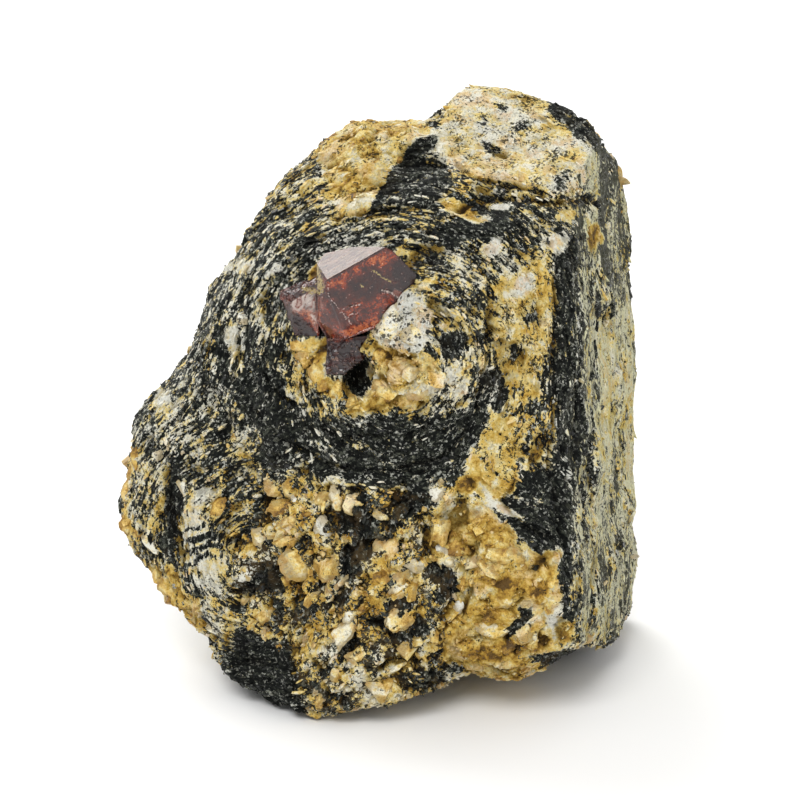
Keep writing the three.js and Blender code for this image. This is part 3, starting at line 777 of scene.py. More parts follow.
# Large grains: [across, up] as seen, half-lengths, turn in degrees, rust from 0 for white to 1 for brown.
LUMPS = (
    ((0.3, 7.4), (2.1, 1.6), 40, 0.07),  # white feldspar under the crystal
    ((2.7, 6.3), (1.6, 1.4), -20, 0.03),
    ((-0.7, 4.3), (1.0, 1.5), 0, 0.52),  # yellow feldspar
    ((1.0, 2.6), (1.5, 1.2), 20, 0.48),
    ((2.3, 0.8), (1.5, 1.1), 15, 0.42),
    ((4.2, 2.3), (1.2, 1.1), -10, 0.38),
    ((-0.6, 0.8), (1.3, 1.1), 0, 0.58),
    ((-3.1, -0.6), (1.4, 0.8), 20, 0.4),
    ((-8.8, 5.3), (1.1, 0.9), 0, 0.6),  # ochre lumps left of the vug
    ((-7.3, 5.6), (0.9, 0.8), 0, 0.62),
    ((-8.1, 4.1), (1.3, 0.9), -20, 0.65),
    ((-7.2, 2.7), (1.2, 1.2), 0, 0.62),
    ((-5.7, 0.8), (1.2, 0.9), 30, 0.66),
    ((-11.4, -8.7), (1.4, 0.9), 10, 0.6),  # coarse grains, from the top down
    ((-9.9, -8.9), (1.0, 1.0), 0, 0.5),
    ((-9.4, -9.8), (0.6, 0.4), 0, 0),
    ((-10.6, -10.7), (1.8, 0.8), 10, 0.65),
    ((-5.1, -9.6), (1.2, 1.3), 0, 0.3),
    ((-3.3, -10.2), (1.1, 0.9), 0, 0.25),
    ((-1.8, -10), (0.8, 0.8), 0, 0.45),
    ((-0.3, -11.2), (1.3, 1.1), -30, 0.4),
    ((-9.8, -12.6), (1.4, 1.2), -10, 0.4),
    ((-10.4, -14.1), (1.6, 0.5), 15, 0.4),
    ((-6.7, -13.3), (1.0, 1.6), 15, 0),
    ((-9.1, -16.3), (1.8, 2.1), 20, 0.45),
    ((-6.5, -16.3), (1.5, 1.9), -10, 0.5),
    ((-0.3, -15.8), (1.4, 2.2), -5, 0.5),
    ((2.3, -16.2), (1.1, 0.9), 0, 0.1),
    ((1.1, -18.8), (1.6, 0.8), 35, 0.25),
    ((1.0, -22), (1.6, 1.6), 0, 0.35),
    ((-3.8, -21.2), (0.8, 1.4), -40, 0.1),
    ((-4.8, -23.3), (2.2, 1.2), 50, 0.3),
    ((-2.8, -25.5), (1.7, 0.9), 15, 0.55),
    ((-6.5, -26.8), (0.9, 0.7), 0, 0.5),
    ((-10.8, -24.8), (0.8, 0.5), -30, 0.7),
    ((4.4, -9.4), (1.1, 0.8), 20, 0.1),
    ((3.2, -12.2), (1.0, 1.6), 0, 0.25),
    ((5.2, -12.3), (1.0, 2.0), -15, 0.6),
    ((5.0, -14.8), (0.8, 0.7), 0, 0),
    ((5.6, -16), (1.1, 1.1), 0, 0.35),
    ((11.8, -16), (2.0, 1.1), 0, 0.5),  # golden patch
    ((7.2, -14.4), (1.8, 1.5), 0, 0.72),
    ((10.3, -22.8), (1.8, 1.1), 5, 0.35),
    ((15.5, -20), (1.3, 0.8), 20, 0.38),
    ((11.5, -20), (1.0, 1.2), 0, 0.35),
    ((6.7, -20.3), (0.7, 1.1), 10, 0),
    ((-21.8, -4), (0.7, 0.9), 0, 0),  # left end and fold
    ((-20.6, -8.7), (0.6, 1.5), 25, 0.1),
    ((-20, -13.3), (0.9, 0.9), 0, 0.05),
    ((-16.8, -10.7), (1.9, 1.1), 40, 0.55),
    ((-12.8, -13.8), (1.1, 1.1), 0, 0.35),
    ((-25.4, -6), (0.7, 1.3), 0, 0.6),
    ((-26.3, -9), (0.9, 1.8), 0, 0.6),
    ((-26.3, -12.4), (0.8, 1.2), 0, 0.6),
    ((-24, -14.5), (1.5, 0.7), -40, 0.1),
    ((-22.4, -18.8), (1.6, 0.9), -40, 0.6),
)
LUMP_DEPTH = 0.5  # half-depth of a lump for each millimetre of its shorter half-length
LUMP_SINK = 0.74  # share of its half-depth that a lump's middle lies below the surface
SPECKLED_LUMPS = 2  # the first ones are the white feldspar, with black specks
SPECKLED = 1.2
CRYSTAL_CLEARANCE = 1.0  # loose grains keep this far from the crystal
BASE_CLEARANCE = 0.6  # and this far above the base


class Rock:
    """What the grains need to know of the finished surface, one row for each vertex."""

    def __init__(self, mesh):
        self.places = coordinates(mesh) / MM
        self.outward = outward_normals(mesh)
        self.face_places = to_face(self.places)
        layers, across = wrapped(self.face_places)
        self.fields = zone_fields(self.face_places, self.outward, layers)
        self.across = across @ FACE_AXES
        self.pale = smooth_step(0.45, 0.6, grain_pick(self.face_places)[0] + self.fields["light"] - 0.5)
        reach = seat(self.places, self.places.copy())
        self.free = (reach > CRYSTAL_CLEARANCE) & (self.places[:, 2] > BASE_CLEARANCE)
        shape = bmesh.new()
        shape.from_mesh(mesh)
        self.tree = BVHTree.FromBMesh(shape)

    def spots(self, share, spacing, random):
        """Vertices picked at random, at most one in each cell of a grid of the given spacing."""
        order = random.permutation(len(self.places))
        cells = np.floor(self.places[order] / spacing).astype(int)
        _, first = np.unique(cells, axis=0, return_index=True)
        chosen = order[first]
        return chosen[(random.random(len(chosen)) < share[chosen]) & self.free[chosen]]


def unit(vectors):
    """Rows of vectors, each made 1 long."""
    return vectors / np.maximum(np.linalg.norm(vectors, axis=1), 1e-9)[:, None]


def frames(first, third):
    """Rows of three square directions: the third kept, the first as near as it can be."""
    third = unit(third)
    first = unit(first - (first * third).sum(axis=1)[:, None] * third)
    return np.stack([first, np.cross(third, first), third], axis=1)


# Small grains. half: half-lengths. sink: how deep the middle lies. sway: how far they turn off their way.
STREAK_GRAINS = {"spacing": 0.8, "half": (0.34, 0.20, 0.10), "sink": 0.06, "sway": 0.2}
MICA = {"spacing": 0.62, "half": (0.24, 0.17, 0.035), "sink": 0.05, "sway": 0.3}
COARSE_GRAINS = {"spacing": 1.4, "half": (0.60, 0.42, 0.36), "sink": 0.30, "sway": 0.5}
CRUMBS = {"spacing": 0.75, "half": (0.17, 0.14, 0.11), "sink": 0.06, "sway": 0.6}


def laid(rock, kind, chosen, long, flat, random):
    """Middles and half-lengths of grains laid along a direction, with some sway."""
    count, sway = len(chosen), kind["sway"]
    long = long + sway * random.normal(size=(count, 3))
    flat = flat + sway * random.normal(size=(count, 3))
    size = np.minimum(random.lognormal(0, 0.38, size=(count, 1, 1)), 1.9)
    stretch = random.uniform(0.75, 1.3, size=(count, 3, 1))
    axes = frames(long, flat) * np.array(kind["half"])[:, None] * size * stretch
    middles = rock.places[chosen] - rock.outward[chosen] * kind["sink"] * size[:, :, 0]
    return middles, axes


def grain_shades(rock, chosen, random):
    """What the finish needs of each grain: what the rock has under it, and a tint of its own."""
    shades = {key: rock.fields[key][chosen] for key in ("stain", "side", "specks")}
    return shades | {"tint": random.random(len(chosen))}


def add_lumps(rock, feldspar):
    """The grains that stand out one by one, each where the line from the eye meets the rock."""
    random = np.random.default_rng(SEED)
    eye = np.array(to_part((*EYE_AIM, EYE_DISTANCE)))
    places, axes = [], []
    for (across, up), (half_long, half_short), turn, _ in LUMPS:
        way = np.array(to_part((across, up, 0))) - eye
        place, normal, _, _ = rock.tree.ray_cast(Vector(eye * MM), Vector(way).normalized())
        turn = math.radians(turn)
        long = np.array(to_part((math.cos(turn), math.sin(turn), 0)) - FACE_CENTRE)
        depth = LUMP_DEPTH * min(half_long, half_short)
        frame_rows = frames(long[None], np.array(normal + OUT)[None])[0]
        axes.append(frame_rows * np.array((half_long, half_short, depth))[:, None])
        places.append(np.array(place) / MM - LUMP_SINK * depth * frame_rows[2])
    count = len(LUMPS)
    shades = {"stain": np.array([rust for *_, rust in LUMPS]), "tint": random.uniform(0.3, 0.7, count),
              "side": np.zeros(count),
              "specks": np.where(np.arange(count) < SPECKLED_LUMPS, SPECKLED, 0.0)}
    shapes = [lump_shape(random) for _ in LUMPS]
    mesh = joined("lumps", shapes, np.arange(count), np.array(places), np.array(axes), shades)
    mesh.shade_smooth()
    mesh.set_sharp_from_angle(angle=CREASE)
    add_piece("lumps", mesh, feldspar, "gneiss")


def add_grains(rock, feldspar, biotite):
    """The small grains that stand on the rock, picked by what it is made of at each place."""
    random = np.random.default_rng(SEED)
    light, coarse, side = (np.clip(rock.fields[name], 0, 1) for name in ("light", "coarse", "side"))
    out = np.array(OUT)
    along = np.cross(out, rock.across)
    clumps = smooth_step(-0.25, 0.25, noise_at(rock.face_places, 2.4, 6.3))

    def picks():
        return random.integers(len(shapes), size=len(chosen))

    shapes = [pebble_shape(random) for _ in range(STOCK)]
    share = light * (1 - coarse) * (1 - 0.5 * side) * (1 - clumps) * 0.9
    chosen = rock.spots(share, STREAK_GRAINS["spacing"], random)
    middles, axes = laid(rock, STREAK_GRAINS, chosen, along[chosen], rock.across[chosen], random)
    shades = grain_shades(rock, chosen, random) | {"height": np.ones(len(chosen))}
    mesh = joined("streak_grains", shapes, picks(), middles, axes, shades)
    add_piece("streak_grains", mesh, feldspar, "gneiss")

    shapes = [flake_shape(random) for _ in range(STOCK)]
    share = (1 - light) * (0.25 + 0.65 * clumps) * (1 - rock.pale * coarse)
    chosen = rock.spots(share, MICA["spacing"], random)
    facing = rock.across[chosen] * random.choice((-1, 1), size=(len(chosen), 1))
    facing = facing + 1.5 * rock.outward[chosen]
    middles, axes = laid(rock, MICA, chosen, along[chosen], facing, random)
    mesh = joined("mica_flakes", shapes, picks(), middles, axes, grain_shades(rock, chosen, random))
    add_piece("mica_flakes", mesh, biotite, "gneiss")

    shapes = [block_shape(random, cuts=11, nearest=0.68) for _ in range(BLOCK_STOCK)]
    lean = np.array(to_part((math.cos(GRAIN_LEAN), math.sin(GRAIN_LEAN), 0)) - FACE_CENTRE)
    chosen = rock.spots(0.6 * coarse * rock.pale, COARSE_GRAINS["spacing"], random)
    middles, axes = laid(rock, COARSE_GRAINS, chosen, lean, rock.outward[chosen], random)
    mesh = joined("feldspar_grains", shapes, picks(), middles, axes, grain_shades(rock, chosen, random))
    add_piece("feldspar_grains", mesh, feldspar, "gneiss")

    chosen = rock.spots((0.12 + 0.5 * coarse) * rock.pale, CRUMBS["spacing"], random)
    middles, axes = laid(rock, CRUMBS, chosen, along[chosen], rock.outward[chosen], random)
    mesh = joined("crumbs", shapes, picks(), middles, axes, grain_shades(rock, chosen, random))
    add_piece("crumbs", mesh, feldspar, "gneiss")


# ---------------------------------------------------------------- the crystal, in the face frame

CRYSTAL_BEVEL = 0.05
CRYSTAL_STEP = 0.2  # longest mesh edge on the crystal
CRYSTAL_MERGE = 0.01  # corners that the bevel leaves closer than this are one
FLAT = math.radians(0.5)  # faces that meet at less than this are one
BEVELLED = math.radians(12)  # edges sharper than this are bevelled
CRYSTAL_CREASE = math.radians(22)
EDGE_LEFT = (-6.3, 12.0)  # the sharp edge between its top and front faces, [across, up] as seen
EDGE_RIGHT = (-0.6, 15.2)
TOP_FACET = (-0.37, -0.27, 0.89)  # which way the striated face looks
SCOOPS = (  # shell-shaped breaks in the front: middle as seen, radius, depth
    ((-2.7, 8.2), 2.1, 0.32),
    ((0.6, 10.8), 1.4, 0.16),
)
FRONT_CHIP = (  # where a thin slab has split off the front face
    (-6.2, 11.7), (-6.1, 10.3), (-5.2, 9.2), (-4.3, 8.2), (-3.8, 7.5), (-4.2, 6.2), (-5.4, 5.0),
    (-7.6, 5.6), (-7.7, 10), (-7, 11.6))
CHIP_DEPTH = 0.2
NICKS = (  # splintered lines that catch the light: half-width, then [across, up] as seen
    (0.07, ((-6.2, 11.7), (-6.1, 10.3), (-5.2, 9.2), (-4.3, 8.2), (-3.8, 7.5))),
    (0.06, ((-4.9, 8.8), (-4.5, 9.2), (-3.8, 9.3), (-2.9, 9.5))),
    (0.06, ((-4.4, 8.0), (-3.9, 8.5), (-3.2, 8.6))),
    (0.13, ((-0.8, 10.9), (0.2, 10.7), (1.0, 10.1))),
    (0.06, ((-4.6, 6.1), (-3.2, 6.5), (-1.5, 7.2))),
)
GOLD = (  # golden flecks on the front face: half-width, then [across, up] as seen
    (0.1, ((-1.8, 13), (-1.2, 12.6), (-0.7, 12.2), (0.1, 11.8))),
    (0.1, ((-2.9, 11.5), (-2.7, 11.3))),
    # The last one is a crust on its left side.
    (0.32, ((-7.4, 13.2), (-7.0, 11.9), (-7.1, 10.8), (-7.9, 10.9), (-8.6, 11.1))),
)
# Soft patches on the crystal: ends of a line as seen, reach, strength.
GLOWS = (  # red, where light comes through
    ((-5.9, 11.7), (-1.0, 14.4), 0.6, 0.7),
    ((-5.5, 11.6), (-4.9, 11.4), 0.45, 0.6),
    ((-1.6, 13.9), (0.3, 14.3), 0.6, 0.7),
    ((-0.8, 13.4), (-0.4, 13.2), 0.5, 0.4),
    ((-4.2, 6.5), (-1.5, 7.7), 0.65, 1.2),
    ((-3.8, 8.8), (-0.6, 9.8), 1.1, 0.65),
    ((-9.1, 9.0), (-7.5, 8.2), 0.55, 1.9),
    ((-6.8, 9.6), (-5.2, 6.0), 0.8, 0.35),
    ((-7.9, 8.2), (-7.2, 6.6), 0.35, 0.9),
    ((-5.7, 4.8), (-5.0, 2.8), 0.7, 0.3),
)
MILKS = (  # whitish and splintered
    ((-9.6, 10.8), (-9.3, 9.4), 0.5, 1.9),
    ((-9.3, 11), (-7.8, 11.2), 0.4, 1.2),
    ((-8.6, 10.4), (-7.7, 9.5), 0.7, 1.1),
    ((-7.7, 8.4), (-7.1, 7.2), 0.25, 1.6),
    ((0.6, 10.7), (1.6, 10.2), 0.3, 0.8),
)
# dark patches: partly the crystal's own dark colour, partly painted shade on its underside above the vug
DARK_AND_SHADED_PATCHES = (  # dark
    ((-9.2, 8.0), (-8.2, 6.6), 0.9, 1.0),
    ((1.2, 13.0), (3.0, 12.0), 1.3, 0.9),
    ((-3.4, 11.2), (0.0, 11.4), 0.9, 0.6),
    ((-6.0, 4.6), (-1.5, 5.6), 0.8, 1.3),
    ((-5.4, 3.0), (-4.0, 2.6), 1.0, 0.8),
)


def patches(seen, lines):
    """How strongly some soft patches cover each place."""
    return sum(strength * np.exp(-((distance_to_line(seen, start, end) / reach) ** 2))
               for start, end, reach, strength in lines)


def nearness(seen, lines):
    """1 on the nearest of some lines, falling to 0 at twice its half-width."""
    closest = np.zeros(len(seen))
    for half, path in lines:
        for start, end in zip(path, path[1:]):
            closest = np.maximum(closest, smooth_step(2 * half, 0, distance_to_line(seen, start, end)))
    return closest


def in_triangles(shape):
    bmesh.ops.triangulate(shape, faces=shape.faces, quad_method="SHORT_EDGE", ngon_method="BEAUTY")


def crystal_mesh():
    """The zircon of the CAD with softened edges, shell-shaped breaks and a splintered left side."""
    shape = merged_copy("zircon")
    bmesh.ops.dissolve_limit(shape, angle_limit=FLAT, verts=shape.verts, edges=shape.edges)
    sharp = [edge for edge in shape.edges if edge.calc_face_angle(0) > BEVELLED]
    bmesh.ops.bevel(shape, geom=sharp, offset=CRYSTAL_BEVEL * MM, segments=2, profile=0.5,
                    affect="EDGES", material=-1, clamp_overlap=True)
    in_triangles(shape)
    bmesh.ops.remove_doubles(shape, verts=shape.verts, dist=CRYSTAL_MERGE * MM)
    for _ in range(8):
        long = [edge for edge in shape.edges if edge.calc_length() > CRYSTAL_STEP * MM]
        bmesh.ops.subdivide_edges(shape, edges=long, cuts=1)
        in_triangles(shape)
    mesh = bpy.data.meshes.new("zircon crystal")
    shape.to_mesh(mesh)

    places = coordinates(mesh) / MM
    outward = outward_normals(mesh)
    face_places = to_face(places)
    seen = as_seen(face_places)
    edge_run = np.array(EDGE_RIGHT) - np.array(EDGE_LEFT)
    edge_run = edge_run / np.linalg.norm(edge_run)
    from_edge = seen - np.array(EDGE_LEFT)
    along_edge = from_edge @ edge_run
    below_edge = from_edge @ np.array((edge_run[1], -edge_run[0]))
    facing = outward @ np.array(OUT)
    front = smooth_step(0.1, 0.25, below_edge) * smooth_step(0, 0.3, facing)
    whole = smooth_step(-7.8, -7.3, seen[:, 0]) * smooth_step(5.4, 6.0, seen[:, 1])
    nicks = nearness(seen, NICKS) * front

    bands = 3.4 * noise_at(face_places, 2.6, 4.2) + 1.1 * noise_at(face_places, 0.8, 6.4)
    bands += seen @ np.array((0.8, 1.1))
    steps = bands - np.floor(bands)
    broken = 0.16 * steps ** 2 + 0.16 * noise_at(face_places, 1.2, 7.7)
    broken += 0.05 * noise_at(face_places, 0.4, 3.7)
    rise = (1 - whole) * (broken - 0.12)
    for middle, radius, depth in SCOOPS:
        off = np.linalg.norm(seen - np.array(middle), axis=1) / radius
        ripple = 0.025 * np.cos(off * 22) * off
        rise += front * whole * np.where(off < 1, depth * (off ** 2 - 1) + ripple * (1 - off), 0)
    inside = distance_inside(seen + 0.15 * wander(face_places), FRONT_CHIP)
    rise -= front * CHIP_DEPTH * smooth_step(0, 0.14, inside)
    rise -= nicks * (0.06 + 0.1 * np.abs(noise_at(face_places, 0.3, 6.1)))
    rise += whole * (0.012 * noise_at(face_places, 0.9, 3.3) + 0.006 * noise_at(face_places, 0.35, 8.3))
    place_vertices(mesh, (places + outward * rise[:, None]) * MM)

    looks = {
        "glow": front * patches(seen, GLOWS),
        "milk": front * patches(seen, MILKS),
        "dusk": front * patches(seen, DARK_AND_SHADED_PATCHES),
        "steps": (1 - whole) * steps,
        "whole": whole,
        "nicks": nicks,
        "gold": nearness(seen, GOLD) * smooth_step(-0.25, 0.05, facing),
        "along_edge": along_edge,
        "below_edge": below_edge,
        "front": front,
        "top": whole * smooth_step(0.86, 0.97, outward @ np.array(TOP_FACET)),
    }
    for name, values in looks.items():
        store(mesh, name, values)
    mesh.shade_smooth()
    mesh.set_sharp_from_angle(angle=CRYSTAL_CREASE)
    return mesh


# ---------------------------------------------------------------- materials

class Value:
    """A number that the nodes of a material work out, for use in Python expressions."""

    def __init__(self, finish, socket):
        self.finish, self.socket = finish, socket

    def math(self, operation, *values, clamp=False):
        settings = {"operation": operation, "use_clamp": clamp}
        return self.finish.value("Math", settings, dict(enumerate(values)))

    def __add__(self, other):
        return self.math("ADD", self, other)

    def __sub__(self, other):
        return self.math("SUBTRACT", self, other)

    def __mul__(self, other):
        return self.math("MULTIPLY", self, other)

    def __truediv__(self, other):
        return self.math("DIVIDE", self, other)

    def __rsub__(self, other):
        return self.math("SUBTRACT", other, self)

    def __rtruediv__(self, other):
        return self.math("DIVIDE", other, self)

    __radd__ = __add__
    __rmul__ = __mul__

    def clamped(self):
        return self.math("ADD", self, 0, clamp=True)

    def over(self, low, high):
        """0 below low, 1 above high and a smooth step between them."""
        settings = {"interpolation_type": "SMOOTHSTEP"}
        sockets = {"Value": self, "From Min": low, "From Max": high}
        return self.finish.value("MapRange", settings, sockets)

    def at_least(self, other):
        return self.math("MAXIMUM", self, other)


class Nodes:
    """A tree of shader nodes, built from Python."""

    def __init__(self, tree):
        self.tree = tree
        tree.nodes.clear()

    def node(self, kind, settings=None, sockets=None):
        """Any node: its kind, its settings and the values or links of its sockets."""
        made = self.tree.nodes.new("ShaderNode" + kind)
        for name, value in (settings or {}).items():
            if name == "stops":
                self.set_stops(made.color_ramp, value)
            else:
                setattr(made, name, value)
        for name, value in (sockets or {}).items():
            self.feed(made.inputs[name], value)
        return made

    def set_stops(self, ramp, stops):
        while len(ramp.elements) < len(stops):
            ramp.elements.new(1)
        for element, (position, colour) in zip(ramp.elements, stops):
            element.position = position
            element.color = (*colour, 1)

    def feed(self, socket, value):
        value = value.socket if isinstance(value, Value) else value
        if isinstance(value, bpy.types.NodeSocket):
            self.tree.links.new(value, socket)
        elif socket.type == "RGBA" and len(value) == 3:
            socket.default_value = (*value, 1)
        else:
            socket.default_value = value

    def value(self, kind, settings, sockets, output=0):
        return Value(self, self.node(kind, settings, sockets).outputs[output])

    def stored(self, *names):
        """Numbers that the piece keeps for each vertex."""
        return [self.value("Attribute", {"attribute_name": name}, {}, "Fac") for name in names]

    def vector(self, x, y, z):
        return self.node("CombineXYZ", None, {0: x, 1: y, 2: z}).outputs[0]

    def parts(self, vector):
        """The three numbers of a place or a colour."""
        made = self.node("SeparateXYZ", None, {0: vector})
        return [Value(self, output) for output in made.outputs]

    def ramp(self, value, stops):
        return self.node("ValToRGB", {"stops": stops}, {"Fac": value}).outputs[0]

    def mix(self, share, a, b, blend="MIX"):
        """Two colours mixed."""
        settings = {"data_type": "RGBA", "blend_type": blend, "clamp_factor": True}
        return self.node("Mix", settings, {0: share, 6: a, 7: b}).outputs[2]

    def noise(self, vector, scale, detail, w=None, roughness=0.5):
        settings = {"noise_dimensions": "3D" if w is None else "4D"}
        sockets = {"Vector": vector, "Scale": scale, "Detail": detail, "Roughness": roughness}
        if w is not None:
            sockets["W"] = w
        return self.value("TexNoise", settings, sockets)

    def cells(self, vector, scale, w=None):
        """A pattern of cells, each with its own colour."""
        settings = {"voronoi_dimensions": "3D" if w is None else "4D"}
        sockets = {"Vector": vector, "Scale": scale}
        if w is not None:
            sockets["W"] = w
        return self.node("TexVoronoi", settings, sockets)


class Finish(Nodes):
    """A material and the nodes that make it."""

    def __init__(self, name):
        self.material = bpy.data.materials.new(name)
        self.material.use_nodes = True
        super().__init__(self.material.node_tree)

    def bump(self, height, strength, depth):
        """A bumped normal, with the depth in millimetres."""
        sockets = {"Strength": strength, "Distance": depth * MM, "Height": height}
        return self.node("Bump", None, sockets).outputs[0]

    def done(self, sockets, volume=None):
        """The finished material, from the sockets of its surface shader."""
        surface = self.node("BsdfPrincipled", None, sockets)
        output = self.node("OutputMaterial", None, {"Surface": surface.outputs[0]})
        if volume is not None:
            self.feed(output.inputs["Volume"], volume)
        return self.material


PALE_MINERAL = (  # fresh to rusty
    (0.0, (0.80, 0.80, 0.73)),
    (0.18, (0.84, 0.79, 0.60)),
    (0.36, (0.82, 0.67, 0.27)),
    (0.58, (0.70, 0.47, 0.10)),
    (0.80, (0.44, 0.25, 0.04)),
    (1.0, (0.14, 0.08, 0.025)),
)
DARK_MINERAL = (
    (0.3, (0.004, 0.005, 0.0045)),
    (0.52, (0.014, 0.016, 0.013)),
    (0.66, (0.048, 0.053, 0.041)),
    (0.85, (0.16, 0.165, 0.125)),
)


def millimetres(f):
    """The place on the piece, in millimetres."""
    return f.node("Mapping", None, {
        "Vector": f.node("TexCoord").outputs["Object"],
        "Scale": (1 / MM, 1 / MM, 1 / MM),
    }).outputs[0]


def ragged(f, place, scale, reach):
    """The place moved about by fine noise, so that what follows it has broken edges."""
    shift = f.node("TexNoise", None, {"Vector": place, "Scale": scale, "Detail": 3.0, "Roughness": 0.6})
    moved = f.node("VectorMath", {"operation": "MULTIPLY_ADD"}, {
        0: shift.outputs["Color"], 1: (reach, reach, reach), 2: place,
    })
    return moved.outputs[0]


GREY_QUARTZ = (0.44, 0.44, 0.36)
BLUSH = (0.76, 0.57, 0.38)
FINE_DARKENING = (0.46, 0.38, 0.24)  # this and the ones called a shade multiply the colour under them
SPECK = (0.030, 0.027, 0.016)
MICA_GLINT = (0.56, 0.57, 0.50)
RUSTY_DARK = (0.09, 0.058, 0.022)
SIDE_DARK = (0.085, 0.083, 0.052)
HOLLOW_PAINTED_SHADE = (0.10, 0.09, 0.07)
SIDE_SHADE = (0.74, 0.73, 0.50)
SIDE_GRAIN_SHADE = (0.80, 0.80, 0.55)
FOOT_RUST_AND_PAINTED_SHADE = (0.46, 0.36, 0.19)


def gritty(f, place):
    """Cells for the smallest grains of the rock."""
    return f.cells(ragged(f, place, 4.0, 0.3), 4.4)


def pale_minerals(f, place, soak, least, specks, grit, veining, blushing):
    """Feldspar and quartz, darkened a little by fine noise. soak is how rusty they are, but never under
    least.

    Rust is soaked in along fine veins, as far as veining says. grit is the pattern of smallest grains.
    Some quartz is greyer, some feldspar blushes, and black specks lie in clusters, crisp above 1.
    """
    _, tint, pick = f.parts(grit.outputs["Color"])
    veins = f.noise(place, 0.9, 6, roughness=0.66)
    soak = (soak + (veins - 0.5) * veining + (tint - 0.5) * 0.1 * veining).at_least(least)
    colour = f.ramp(soak, PALE_MINERAL)
    quartz = f.noise(place, 0.7, 3, roughness=0.6) + (pick - 0.5) * 0.25
    colour = f.mix(quartz.over(0.57, 0.66) * soak.over(0.6, 0.2) * 0.55, colour, GREY_QUARTZ)
    blush = f.noise(place, 0.45, 4, roughness=0.62) + (tint - 0.5) * 0.1
    colour = f.mix(blush.over(0.49, 0.60) * soak.over(0.75, 0.35) * blushing * 0.65, colour, BLUSH)
    # fine noise darkens the colour in small patches; the feldspar also takes its roughness from it
    fine_darkening = f.noise(place, 5.0, 3, roughness=0.7)
    colour = f.mix(fine_darkening.over(0.5, 0.34) * 0.55, colour, FINE_DARKENING, "MULTIPLY")
    cluster = f.noise(place, 0.6, 2) * 0.7 + f.noise(place, 3.8, 3, roughness=0.65) * 1.25
    dotted = specks.over(0.95, 1.1)
    speck = (cluster + (specks - dotted * 0.75) * 0.16).over(1.215, 1.24)
    dots = f.cells(ragged(f, place, 2.2, 0.5), 1.6)
    spread = f.parts(dots.outputs["Color"])[0] * 0.26 + 0.14
    dot = (spread - Value(f, dots.outputs["Distance"])).over(0.0, 0.03) * dotted
    return f.mix((speck + dot).clamped() * 0.92, colour, SPECK), fine_darkening


